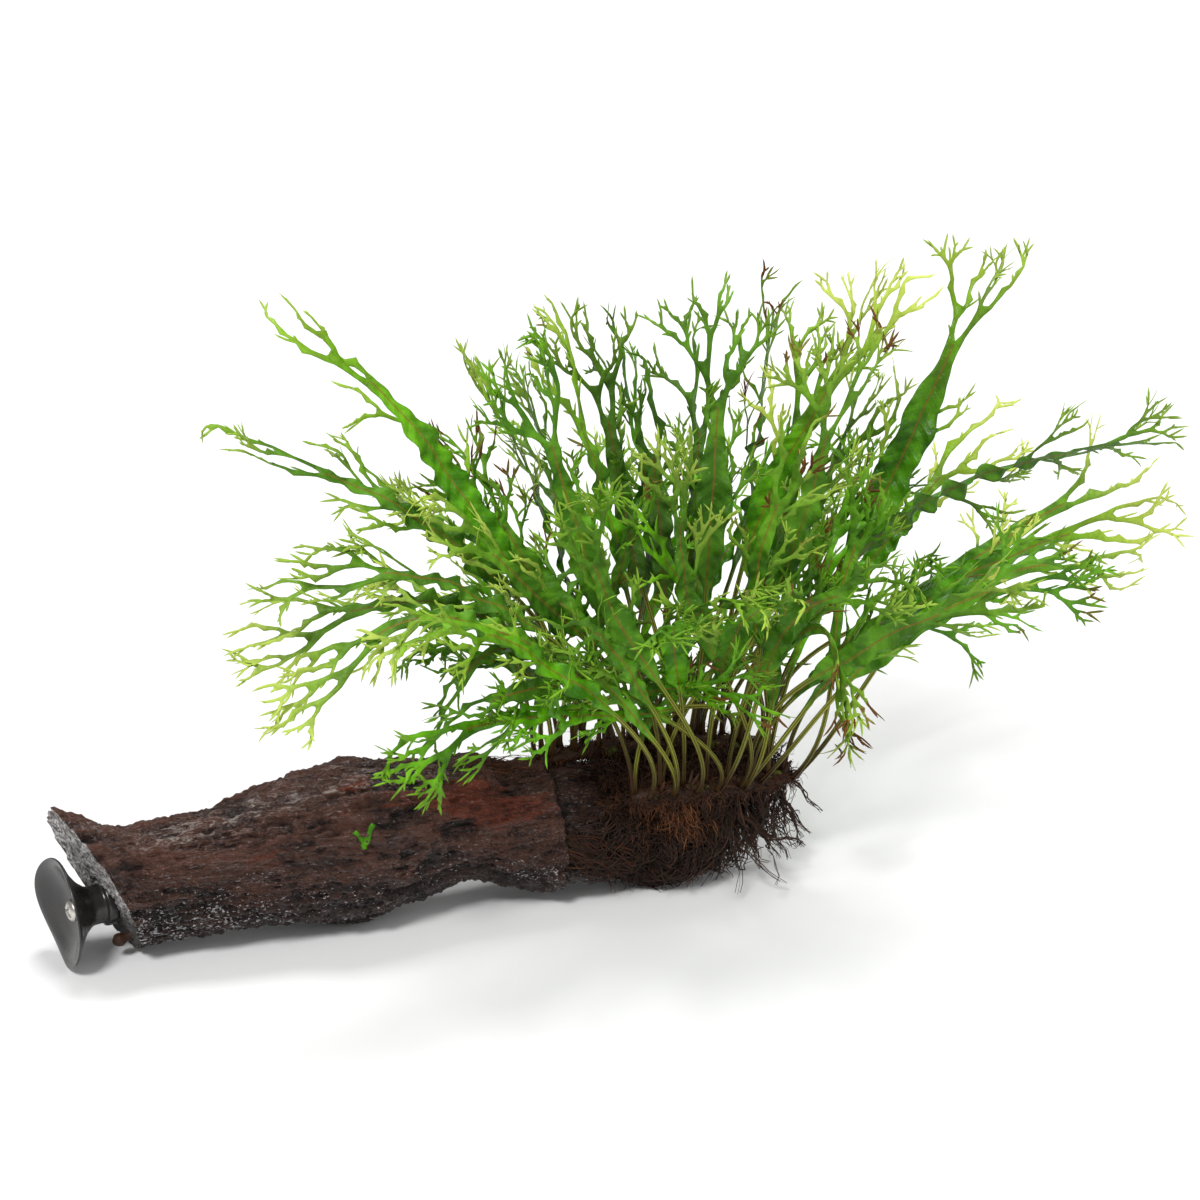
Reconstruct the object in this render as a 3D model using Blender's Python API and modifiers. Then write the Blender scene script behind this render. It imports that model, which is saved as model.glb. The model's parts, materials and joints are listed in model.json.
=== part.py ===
"""Lace java fern grown on a piece of driftwood that ends in a suction cup.

Metres, +Z up. The wood lies along X, the suction cup points to -X and the fern grows on the +X end.
While the pieces are made, the floor is z = 0 and x = 0, y = 0 is the point where the wood's belly rests.
The last step moves everything so that the origin is the middle of the bottom of the whole object's box.
"""

import math
import random

import bmesh
import bpy
from mathutils import Matrix, Vector
from mathutils.bvhtree import BVHTree

MM = 0.001
UP = Vector((0.0, 0.0, 1.0))

# Clear space between pieces that touch
GAP = 0.4 * MM

# Driftwood: along X, the height of its middle and its radius, all in mm
WOOD_SECTIONS = (
    (-130, 30.5, 25.5),
    (-110, 29.5, 25.0),
    (-96, 27.0, 23.2),
    (-80, 25.0, 20.2),
    (-50, 28.4, 21.7),
    (-20, 31.6, 25.6),
    (0, 31.4, 27.6),
    (20, 33.4, 24.4),
    (38, 34.6, 21.3),
    (58, 29.4, 22.2),
    (80, 26.8, 22.3),
    (92, 26.2, 20.4),
    (110, 26.0, 19.3),
    (122, 26.3, 17.2),
    (130, 27.0, 12.5),
    (133, 27.3, 7.0),
)
WOOD_DEPTH = 0.95
WOOD_SIDES = 24
WOOD_STEP = 10.0 * MM
CUT_POINT = (-92.0, 0.0, 22.0)
CUT_NORMAL = (-1.0, -0.34, -0.38)
BELLY_AT = -5.0
BELLY_DROP = 6.8
BELLY_LENGTH = 13.0
BELLY_POWER = 12
BELLY_TURN = math.radians(15)
LEDGE_AT = 61.0
LEDGE_HEIGHT = 1.5
SETTLE = 1.6 * MM

# Suction cup: its axis runs along X, and is then turned towards the front
CUP_CENTRE = (2.5, 20.0)
CUP_TURN = math.radians(15)
CUP_RIM_X = -109.5 * MM
CUP_FLANGE_X = -90.5 * MM
CUP_RADIUS = 20.0 * MM
CUP_LIP = 2.6 * MM
CUP_RIM_THICKNESS = 1.3 * MM
CUP_FLANGE_RADIUS = 8.4 * MM
CUP_NECK_RADIUS = 7.0 * MM
CUP_SIDES = 20
CUP_DISH_DEPTH = 6.0 * MM
SEAT_CLEARANCE = 0.8 * MM

# Screw through the cup
SCREW_HEAD_RADIUS = 4.0 * MM
SCREW_HEAD_HEIGHT = 2.6 * MM
SCREW_SHANK_RADIUS = 1.9 * MM
SCREW_LENGTH = 30.0 * MM
SCREW_SIDES = 12
SLOT_WIDTH = 0.9 * MM
SLOT_LENGTH = 4.6 * MM
SLOT_DEPTH = 1.3 * MM

# Root mat: along X, the height of its middle and its radius, all in mm
MAT_SECTIONS = (
    (60, 27.4, 24.6),
    (84, 27.0, 24.2),
    (100, 24.8, 24.6),
    (118, 24.2, 24.4),
    (130, 25.2, 22.6),
    (136, 27.0, 17.0),
    (138.5, 28.0, 9.5),
)
MAT_SIDES = 20
MAT_RINGS = 8
MAT_LUMP = 0.8 * MM
HEM_TOP = 84.0
HEM_FRONT = 112.0
HEM_BOTTOM = 92.0

# Hanging roots beyond the wood: centre, half depth and half height of each section, in mm
HANGING_SECTIONS = (
    (139.5, -2.0, 21.0, 10.0, 15.5),
    (145.0, -3.0, 20.5, 12.5, 15.0),
    (152.0, -4.0, 20.0, 12.0, 14.5),
    (159.0, -4.0, 20.0, 10.0, 14.0),
    (166.0, -4.0, 19.5, 6.5, 9.5),
    (172.0, -4.0, 18.5, 2.2, 3.0),
)
HANGING_SIDES = 10

# Creeping stems: points in mm with the radius there
RHIZOMES = {
    "rhizome_top": (
        (65, 1, 53.6, 2.2),
        (74, 2, 53.1, 2.8),
        (87, 1, 54.8, 3.2),
        (101, -1, 53.5, 3.5),
        (116, 1, 52.8, 3.5),
        (131, 0, 51.6, 3.5),
        (145, -2, 50.0, 3.3),
        (158, -3, 47.0, 2.6),
    ),
    "rhizome_front": (
        (95, -20.5, 42.8, 2.5),
        (101, -22.4, 43.8, 3.2),
        (112, -22.6, 43.4, 3.5),
        (126, -21.6, 42.8, 3.5),
        (139, -19.0, 41.8, 3.4),
        (152, -15.0, 40.4, 3.2),
        (164, -10.0, 38.0, 2.5),
    ),
    "rhizome_back": (
        (94, 20.2, 43.0, 2.5),
        (101, 22.6, 43.6, 3.2),
        (117, 22.2, 43.4, 3.4),
        (132, 20.0, 42.8, 3.3),
        (146, 15.0, 41.4, 2.6),
    ),
}
FOOT_STEP = 4.5 * MM
FOOT_TURN = math.radians(30)

# Fronds
FROND_THICKNESS = 1.0 * MM
STIPE_HALF = 1.1 * MM
STIPE_SHARE = 0.37
CREST_SHARE = 0.25
CREST_LEAST = 27.0 * MM
CREST_MOST = 42.0 * MM
CREST_NECK = 2.9 * MM
TWIG_SHARES = (0.34, 0.27, 0.19, 0.12, 0.08)
TWIG_HALVES = (2.5 * MM, 1.8 * MM, 1.35 * MM, 1.0 * MM, 0.6 * MM)
TWIG_STEPS = 4
FORK_FLARE = 1.3
BLADE_QUADS = 4
STIPE_QUADS = 2
CLEARANCE = 0.35 * MM
TRIES_A_FOOT = 25
MOST_FEET = 6
LEAST_SLANT = 0.3
SWAY = 1.4 * MM
VIEWER = Vector((-0.29, -0.86, 0.42))
CROWN = Vector((118.0, 0.0, 45.0)) * MM

# Each frond: a point on its way, its tip, the blade's width, its turn and its twist in degrees
SHOWN_FRONDS = (
    ((31, -4, 174), (-22, 6, 228), 12, 10, 95),
    ((33, -14, 145), (-51, -24, 191), 9, 20, 120),
    ((33, -30, 133), (-39, -46, 148), 12, 20, 40),
    ((24, -44, 130), (-39, -66, 109), 12, 25, 35),
    ((35, -22, 124), (-46, -30, 121), 13, 30, 30),
    ((48, -26, 113), (17, -16, 73), 9, 40, 40),
    ((37, -58, 126), (-3, -76, 127), 11, 30, 30),
    ((60, 26, 112), (24, 40, 153), 13, 20, 30),
    ((58, -14, 128), (18, -22, 162), 12, 15, 50),
    ((63, 8, 125), (35, 20, 172), 13, 0, 40),
    ((83, 24, 122), (56, 44, 198), 14, 0, 30),
    ((79, -20, 137), (50, -34, 219), 13, 10, 40),
    ((93, -6, 138), (67, -4, 221), 14, 60, 30),
    ((109, 20, 128), (96, 36, 211), 15, 0, 20),
    ((118, 10, 123), (112, 16, 196), 16, 5, 20),
    ((129, -12, 142), (135, -8, 227), 16, 0, 15),
    ((152, 14, 133), (167, 26, 222), 14, 50, 40),
    ((168, 34, 115), (204, 60, 196), 15, 10, 20),
    ((158, -14, 126), (179, -24, 214), 14, 30, 30),
    ((153, -8, 148), (206, -16, 227), 15, 0, 60),
    ((198, 10, 124), (256, 18, 229), 17, 0, 15),
    ((211, 34, 101), (283, 60, 152), 14, 20, 20),
    ((206, -8, 137), (313, -14, 154), 14, 35, 50),
    ((211, -22, 108), (306, -34, 136), 14, 15, 20),
    ((233, 22, 94), (335, 40, 128), 12, 20, 30),
    ((227, 4, 95), (316, 8, 102), 13, 20, 15),
    ((192, -42, 104), (255, -64, 130), 15, 10, 20),
    ((175, -58, 109), (218, -92, 132), 14, 20, 20),
    ((160, -40, 112), (162, -62, 75), 9, 20, 40),
)
FILL_FRONDS = (
    ((115, 20, 130), (108, 44, 204), 16, 20, 30),
    ((136, 24, 128), (150, 50, 198), 15, -20, 30),
    ((95, 26, 122), (74, 56, 186), 14, 30, 30),
    ((100, 46, 110), (84, 96, 152), 14, 0, 25),
    ((122, 50, 106), (127, 104, 142), 15, 15, 25),
    ((146, 46, 105), (168, 98, 136), 14, -10, 30),
    ((76, 40, 105), (40, 80, 128), 13, 10, 30),
    ((172, 40, 100), (218, 82, 118), 14, 20, 20),
    ((62, 30, 96), (12, 56, 108), 12, 0, 30),
    ((176, 20, 122), (222, 40, 178), 13, 15, 20),
    ((104, -44, 112), (92, -84, 132), 14, 0, 20),
    ((126, -46, 114), (131, -90, 138), 15, 10, 20),
    ((80, -40, 112), (54, -78, 126), 13, 10, 20),
    ((150, -42, 114), (176, -84, 136), 14, -10, 20),
    ((86, -28, 120), (62, -54, 168), 14, 0, 30),
    ((112, -26, 128), (106, -46, 186), 15, 20, 20),
    ((141, -26, 128), (156, -48, 188), 15, -20, 20),
    ((60, -38, 98), (10, -56, 92), 12, 25, 30),
)

# Leaf scrap on the front of the wood
SCRAP_AT = -4.5
SCRAP_ANGLE = 68.0
SCRAP_THICKNESS = 0.8 * MM
# Each arm: its direction in degrees, its length in mm, and the direction of the notch after it
SCRAP_ARMS = ((50, 7.6, 82), (112, 5.6, 190), (262, 1.8, 330))

# Colours of the pieces
MATERIALS = {
    "wet_wood": ((0.045, 0.022, 0.014), 0.45, 0.0),
    "black_rubber": ((0.012, 0.012, 0.013), 0.4, 0.0),
    "steel": ((0.62, 0.62, 0.60), 0.3, 1.0),
    "stem_green": ((0.16, 0.20, 0.03), 0.5, 0.0),
    "root_brown": ((0.045, 0.020, 0.010), 0.8, 0.0),
    "leaf_green": ((0.08, 0.27, 0.02), 0.4, 0.0),
}


def clear_scene():
    for obj in list(bpy.data.objects):
        bpy.data.objects.remove(obj, do_unlink=True)


def new_collection(name):
    collection = bpy.data.collections.new(name)
    bpy.context.scene.collection.children.link(collection)
    return collection


def new_material(name, colour, roughness, metallic):
    material = bpy.data.materials.new(name)
    material.use_nodes = True
    shader = material.node_tree.nodes["Principled BSDF"]
    shader.inputs["Base Color"].default_value = (*colour, 1.0)
    shader.inputs["Roughness"].default_value = roughness
    shader.inputs["Metallic"].default_value = metallic
    material.diffuse_color = (*colour, 1.0)
    return material


def mm(point):
    return Vector(point) * MM


def between(rows, at):
    """The values of a table's rows at one place, on a smooth curve through them."""
    last = len(rows) - 1
    i = 0
    while i < last - 1 and rows[i + 1][0] < at:
        i += 1
    x0, x1 = rows[i][0], rows[i + 1][0]
    t = min(max((at - x0) / (x1 - x0), 0.0), 1.0)
    values = []
    for column in range(1, len(rows[0])):
        before, a, b, after = (
            rows[max(i - 1, 0)],
            rows[i],
            rows[i + 1],
            rows[min(i + 2, last)],
        )
        slope_a = (b[column] - before[column]) / (b[0] - before[0])
        slope_b = (after[column] - a[column]) / (after[0] - a[0])
        run = x1 - x0
        values.append(
            a[column] * (2 * t**3 - 3 * t**2 + 1)
            + slope_a * run * (t**3 - 2 * t**2 + t)
            + b[column] * (3 * t**2 - 2 * t**3)
            + slope_b * run * (t**3 - t**2)
        )
    return values


def settled(point):
    """Wood and roots that come near the floor lie flat on it."""
    if point.z < SETTLE:
        point.z = 0.0
    return point


def add_mesh(name, bm, material, collection, smooth=True):
    mesh = bpy.data.meshes.new(name)
    bmesh.ops.recalc_face_normals(bm, faces=bm.faces)
    if bm.calc_volume(signed=True) < 0:
        bmesh.ops.reverse_faces(bm, faces=bm.faces)
    bm.to_mesh(mesh)
    bm.free()
    if material:
        mesh.materials.append(material)
    if smooth:
        mesh.shade_smooth()
    obj = bpy.data.objects.new(name, mesh)
    collection.objects.link(obj)
    return obj


def loft(rings):
    """A closed solid through rings of the same number of points, with a fan at each end."""
    bm = bmesh.new()
    rows = [[bm.verts.new(point) for point in ring] for ring in rings]
    sides = len(rings[0])
    for near, far in zip(rows, rows[1:]):
        for k in range(sides):
            bm.faces.new((near[k], near[(k + 1) % sides], far[(k + 1) % sides], far[k]))
    for row in (rows[0], rows[-1]):
        middle = bm.verts.new(sum((v.co for v in row), Vector()) / sides)
        for k in range(sides):
            bm.faces.new((row[k], row[(k + 1) % sides], middle))
    return bm


def wood_point(x, angle, grow=0.0):
    """A point of the wood's surface. Angle 0 is the top and a quarter turn is the front."""
    height, radius = between(WOOD_SECTIONS, x)
    side = math.sin(angle) ** 2
    lumps = 1 + side * (
        0.055 * math.cos(2 * angle - 0.7 + 0.020 * x)
        + 0.040 * math.cos(3 * angle + 1.3 + 0.045 * x)
        + 0.022 * math.cos(5 * angle - 0.060 * x)
    )
    ledge = LEDGE_HEIGHT * side * max(0.0, 1 - abs(x - LEDGE_AT + 9 * side) / 16)
    below = max(0.0, -math.cos(angle - BELLY_TURN)) ** BELLY_POWER
    belly = BELLY_DROP * below * math.exp(-(((x - BELLY_AT) / BELLY_LENGTH) ** 2))
    reach = radius * lumps + ledge + belly + grow / MM
    point = mm((x, -reach * WOOD_DEPTH * math.sin(angle), height + reach * math.cos(angle)))
    return point if grow else settled(point)


def wood_rings(first, last, grow=0.0):
    count = round((last - first) * MM / WOOD_STEP)
    rings = []
    for i in range(count + 1):
        x = first + (last - first) * i / count
        rings.append(
            [wood_point(x, 2 * math.pi * k / WOOD_SIDES, grow) for k in range(WOOD_SIDES)]
        )
    return rings


def turn_with_cup(obj):
    """The cup, its screw and their bores face a little towards the front, about the flange's middle."""
    pivot = Matrix.Translation(Vector((CUP_FLANGE_X, CUP_CENTRE[0] * MM, CUP_CENTRE[1] * MM)))
    turn = pivot @ Matrix.Rotation(CUP_TURN, 4, "Z") @ pivot.inverted()
    obj.matrix_basis = turn @ obj.matrix_basis
    return obj


def add_cutter(obj, collection):
    for holder in list(obj.users_collection):
        holder.objects.unlink(obj)
    collection.objects.link(obj)
    obj.hide_render = True
    obj.display_type = "WIRE"
    return obj


def rod(name, radius, x_from, x_to, sides, collection):
    """A cutter along X, on the cup's axis."""
    bm = bmesh.new()
    bmesh.ops.create_cone(
        bm, cap_ends=True, segments=sides, radius1=radius, radius2=radius, depth=x_to - x_from
    )
    turn = Matrix.Rotation(math.pi / 2, 4, "Y")
    middle = Vector(((x_from + x_to) / 2, CUP_CENTRE[0] * MM, CUP_CENTRE[1] * MM))
    bm.transform(Matrix.Translation(middle) @ turn)
    return turn_with_cup(add_cutter(add_mesh(name, bm, None, collection), collection))


def cut(obj, cutter):
    boolean = obj.modifiers.new(cutter.name, "BOOLEAN")
    boolean.operation = "DIFFERENCE"
    boolean.solver = "EXACT"
    boolean.object = cutter


def make_driftwood(material, parts, cutters):
    bm = loft(wood_rings(WOOD_SECTIONS[0][0], WOOD_SECTIONS[-1][0]))
    found = bmesh.ops.bisect_plane(
        bm,
        geom=bm.verts[:] + bm.edges[:] + bm.faces[:],
        dist=1e-6,
        plane_co=mm(CUT_POINT),
        plane_no=Vector(CUT_NORMAL).normalized(),
        clear_outer=True,
    )
    edges = [g for g in found["geom_cut"] if isinstance(g, bmesh.types.BMEdge)]
    bmesh.ops.holes_fill(bm, edges=edges, sides=0)
    wood = add_mesh("driftwood", bm, material, parts)
    seat = rod(
        "seat_cutter",
        CUP_FLANGE_RADIUS + SEAT_CLEARANCE,
        CUP_RIM_X - 20 * MM,
        CUP_FLANGE_X + GAP,
        CUP_SIDES,
        cutters,
    )
    hole = rod(
        "screw_hole_cutter",
        SCREW_SHANK_RADIUS + GAP,
        CUP_RIM_X - 10 * MM,
        CUP_RIM_X + CUP_DISH_DEPTH + SCREW_LENGTH + GAP,
        SCREW_SIDES,
        cutters,
    )
    cut(wood, seat)
    cut(wood, hole)
    return hole


def turned(name, profile, sides, material, collection):
    """A solid turned about the cup's axis. Its profile is (distance along X, radius) pairs."""
    bm = bmesh.new()
    verts = [bm.verts.new((radius, 0.0, along)) for along, radius in profile]
    for a, b in zip(verts, verts[1:]):
        bm.edges.new((a, b))
    mesh = bpy.data.meshes.new(name)
    bm.to_mesh(mesh)
    bm.free()
    mesh.materials.append(material)
    obj = bpy.data.objects.new(name, mesh)
    collection.objects.link(obj)
    screw = obj.modifiers.new("turn", "SCREW")
    screw.axis = "Z"
    screw.steps = sides
    screw.render_steps = sides
    screw.use_merge_vertices = True
    screw.merge_threshold = 0.02 * MM
    screw.use_smooth_shade = True
    obj.rotation_euler = (0.0, -math.pi / 2, 0.0)
    obj.location = Vector((0.0, CUP_CENTRE[0] * MM, CUP_CENTRE[1] * MM))
    return turn_with_cup(obj)


def make_cup(material, parts, hole):
    """The rim faces -X. Along the turned axis, larger is nearer to the rim."""
    rim = -CUP_RIM_X
    flange = -CUP_FLANGE_X
    dish = rim - CUP_DISH_DEPTH
    profile = (
        (dish, 0.0),
        (dish, SCREW_HEAD_RADIUS + 1.2 * MM),
        (dish + 1.2 * MM, 9.0 * MM),
        (dish + 3.4 * MM, 13.5 * MM),
        (rim, CUP_RADIUS - CUP_LIP),
        (rim, CUP_RADIUS),
        (rim - CUP_RIM_THICKNESS, CUP_RADIUS),
        (rim - 3.8 * MM, 14.5 * MM),
        (rim - 7.0 * MM, 10.0 * MM),
        (rim - 10.5 * MM, CUP_NECK_RADIUS),
        (flange + 4.0 * MM, CUP_NECK_RADIUS),
        (flange + 3.0 * MM, CUP_FLANGE_RADIUS),
        (flange, CUP_FLANGE_RADIUS),
        (flange, 0.0),
    )
    cup = turned("suction_cup", profile, CUP_SIDES, material, parts)
    cut(cup, hole)
    return cup


def make_screw(material, parts, cutters):
    seat = -CUP_RIM_X - CUP_DISH_DEPTH + GAP
    top = seat + SCREW_HEAD_HEIGHT
    profile = (
        (top, 0.0),
        (top, 0.5 * SCREW_HEAD_RADIUS),
        (top - 0.5 * MM, 0.85 * SCREW_HEAD_RADIUS),
        (top - 1.5 * MM, SCREW_HEAD_RADIUS),
        (seat, SCREW_HEAD_RADIUS),
        (seat, SCREW_SHANK_RADIUS),
        (seat - SCREW_LENGTH + 4 * MM, SCREW_SHANK_RADIUS),
        (seat - SCREW_LENGTH + GAP, 0.4 * SCREW_SHANK_RADIUS),
        (seat - SCREW_LENGTH + GAP, 0.0),
    )
    screw = turned("cup_screw", profile, SCREW_SIDES, material, parts)
    bm = bmesh.new()
    bmesh.ops.create_cube(bm, size=1.0)
    bm.transform(Matrix.Diagonal((2 * SLOT_DEPTH, SLOT_WIDTH, SLOT_LENGTH, 1.0)))
    long_arm = add_mesh("slot_cutter", bm, None, cutters, smooth=False)
    bm = bmesh.new()
    bmesh.ops.create_cube(bm, size=1.0)
    bm.transform(Matrix.Diagonal((2 * SLOT_DEPTH, SLOT_LENGTH, SLOT_WIDTH, 1.0)))
    cross_arm = add_mesh("cross_slot_cutter", bm, None, cutters, smooth=False)
    for arm in (long_arm, cross_arm):
        arm.location = Vector((-top, CUP_CENTRE[0] * MM, CUP_CENTRE[1] * MM))
        arm.rotation_euler = (math.radians(20), 0.0, 0.0)
        cut(screw, turn_with_cup(add_cutter(arm, cutters)))
    return screw


def hem_start(angle):
    """How far along the wood the roots begin, in mm: first on top, last at the sides."""
    side = math.sin(angle) ** 2
    plain = HEM_TOP if math.cos(angle) > 0 else HEM_BOTTOM
    ragged = 2.2 * math.cos(5 * angle + 0.8)
    return plain + (HEM_FRONT - plain) * side + ragged


def mat_point(x, angle):
    height, radius = between(MAT_SECTIONS, x)
    lump = MAT_LUMP / MM * (math.cos(4 * angle + 0.11 * x) + 0.6 * math.cos(7 * angle - 0.23 * x))
    reach = radius + lump * math.sin(angle) ** 2
    return settled(mm((x, -reach * math.sin(angle), height + reach * math.cos(angle))))


def make_root_mat(material, parts, cutters):
    end = MAT_SECTIONS[-1][0]
    rings = []
    for i in range(MAT_RINGS + 1):
        share = math.sin(math.pi / 2 * i / MAT_RINGS)
        ring = []
        for k in range(MAT_SIDES):
            angle = 2 * math.pi * k / MAT_SIDES
            start = hem_start(angle)
            ring.append(mat_point(start + (end - start) * share, angle))
        rings.append(ring)
    mat = add_mesh("root_mat", loft(rings), material, parts)
    first = WOOD_SECTIONS[-1][0] - 8 * WOOD_STEP / MM
    clearance = loft(wood_rings(first, WOOD_SECTIONS[-1][0], GAP + 0.3 * MM))
    clearance.transform(Matrix.Translation((GAP, 0.0, 0.0)))
    cut(mat, add_cutter(add_mesh("wood_clearance_cutter", clearance, None, cutters), cutters))
    return mat


def make_hanging_roots(material, parts):
    rings = []
    for x, y, z, half_depth, half_height in HANGING_SECTIONS:
        ring = []
        for k in range(HANGING_SIDES):
            angle = 2 * math.pi * k / HANGING_SIDES
            reach = 1 + 0.12 * math.cos(3 * angle + 0.2 * x)
            ring.append(
                mm(
                    (
                        x,
                        y - half_depth * reach * math.sin(angle),
                        z + half_height * reach * math.cos(angle),
                    )
                )
            )
        rings.append(ring)
    return add_mesh("hanging_roots", loft(rings), material, parts)


def make_rhizome(name, points, material, parts):
    curve = bpy.data.curves.new(name, "CURVE")
    curve.dimensions = "3D"
    curve.bevel_depth = MM
    curve.bevel_resolution = 2
    curve.use_fill_caps = True
    spline = curve.splines.new("POLY")
    spline.points.add(len(points) - 1)
    for point, (x, y, z, radius) in zip(spline.points, points):
        point.co = (x * MM, y * MM, z * MM, 1.0)
        point.radius = radius
    curve.materials.append(material)
    obj = bpy.data.objects.new(name, curve)
    parts.objects.link(obj)
    return obj


def make_leaf_scrap(material, parts):
    """Three short arms that lie against the front of the wood."""
    angle = math.radians(SCRAP_ANGLE)
    along = wood_point(SCRAP_AT + 4, angle) - wood_point(SCRAP_AT - 4, angle)
    around = wood_point(SCRAP_AT, angle - 0.15) - wood_point(SCRAP_AT, angle + 0.15)
    along.normalize()
    out = along.cross(around).normalized()
    around = out.cross(along)
    middle = wood_point(SCRAP_AT, angle) + out * (GAP + SCRAP_THICKNESS)

    def place(degrees, reach):
        turn = math.radians(degrees)
        return middle + (along * math.cos(turn) + around * math.sin(turn)) * reach

    bm = bmesh.new()
    hub = bm.verts.new(middle)
    ring = []
    for degrees, reach, notch in SCRAP_ARMS:
        for turn in (-9, 9):
            ring.append(bm.verts.new(place(degrees + turn, reach * MM)))
        ring.append(bm.verts.new(place(notch, 1.1 * MM)))
    for a, b in zip(ring, ring[1:] + ring[:1]):
        bm.faces.new((hub, a, b))
    scrap = add_mesh("leaf_scrap", bm, material, parts)
    solid = scrap.modifiers.new("thickness", "SOLIDIFY")
    solid.thickness = SCRAP_THICKNESS
    solid.offset = 0.0
    return scrap


def bezier(points, t):
    a, b, c, d = points
    s = 1 - t
    return a * s**3 + b * (3 * s * s * t) + c * (3 * s * t * t) + d * t**3


class Route:
    """A frond's way from its foot through one point to its tip, read by distance."""

    def __init__(self, foot, rise, via, tip):
        across = (tip - foot).normalized()
        first = (via - foot).length
        last = (tip - via).length
        end = ((tip - via).normalized() - 0.25 * UP).normalized()
        lower = (foot, foot + rise * first * 0.42, via - across * first * 0.33, via)
        upper = (via, via + across * last * 0.36, tip - end * last * 0.30, tip)
        self.points = [bezier(lower, i / 20) for i in range(20)]
        self.points += [bezier(upper, i / 20) for i in range(21)]
        self.marks = [0.0]
        for a, b in zip(self.points, self.points[1:]):
            self.marks.append(self.marks[-1] + (b - a).length)
        self.length = self.marks[-1]

    def mark_before(self, distance):
        """The last mark before a distance, and how far on it is to the next one."""
        i = 0
        while i < len(self.marks) - 2 and self.marks[i + 1] < distance:
            i += 1
        return i, (distance - self.marks[i]) / (self.marks[i + 1] - self.marks[i])

    def at(self, distance):
        i, share = self.mark_before(distance)
        step = self.points[i + 1] - self.points[i]
        before = self.points[i] - self.points[max(i - 1, 0)]
        heading = before.lerp(step, 0.5 + 0.5 * min(max(share, 0.0), 1.0))
        return self.points[i] + step * share, heading.normalized()


class Sheet:
    """Points and faces of a thin surface."""

    def __init__(self):
        self.points = []
        self.faces = []

    def add(self, point):
        self.points.append(point)
        return len(self.points) - 1

    def row(self, centre, side, half):
        return self.add(centre + side * half), self.add(centre - side * half)

    def strip(self, near, far):
        self.faces.append((near[0], near[1], far[1], far[0]))

    def web(self, row, fork):
        """The small web between two ribbons, in front of the row that they leave."""
        middle = self.add(fork)
        self.faces.append((row[0], row[1], middle))
        return middle


class Frond:
    def __init__(self, foot, rise, via, tip, width, turn, twist, seed):
        self.route = Route(foot, rise, via, tip)
        self.tip = tip
        self.width = width
        self.turn = math.radians(turn)
        self.twist = math.radians(twist)
        self.seed = seed
        length = self.route.length
        self.reach = min(max(length * CREST_SHARE, CREST_LEAST), CREST_MOST)
        self.stipe = length * STIPE_SHARE
        self.blade_end = length - self.reach
        self.sides = self.carried_sides(self.face_direction(via))

    def face_direction(self, via):
        """Fronds in front and at the sides show their face to the viewer, those behind face away."""
        away = via - CROWN
        outward = Vector((away.x, away.y, 0.6 * away.length)).normalized()
        back = min(max(away.y / (30 * MM), 0.0), 1.0)
        return VIEWER.lerp(outward, back).normalized()

    def carried_sides(self, facing):
        """Which way the blade spreads at each mark, carried along from the middle so it never flips."""
        headings = [self.route.at(mark)[1] for mark in self.route.marks]
        middle = len(headings) // 2
        side = headings[middle].cross(facing)
        if side.length < LEAST_SLANT:
            side = headings[middle].cross(UP)
        sides = {middle: side.normalized()}
        for step in (1, -1):
            i = middle
            while 0 <= i + step < len(headings):
                turn = headings[i].rotation_difference(headings[i + step])
                sides[i + step] = (turn @ sides[i]).normalized()
                i += step
        return [sides[i] for i in range(len(headings))]

    def frame(self, distance):
        centre, heading = self.route.at(distance)
        share = distance / self.route.length
        i, onward = self.route.mark_before(distance)
        side = self.sides[i].lerp(self.sides[i + 1], onward)
        side = (side - heading * side.dot(heading)).normalized()
        turn = self.turn + self.twist * (share - 0.45)
        side = Matrix.Rotation(turn, 3, heading) @ side
        return centre, heading, side, side.cross(heading).normalized()

    def half_width(self, distance):
        """Half the width of stipe and blade at a distance from the foot."""
        if distance <= self.stipe:
            return STIPE_HALF
        share = (distance - self.stipe) / (self.blade_end - self.stipe)
        swell = math.sin(math.pi * share**0.8) ** 0.75 if 0 < share < 1 else 0.0
        base = STIPE_HALF + (CREST_NECK - STIPE_HALF) * share
        wave = 1 + 0.10 * math.sin(9 * share + self.seed)
        return max(base, self.width / 2 * swell * wave)


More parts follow.
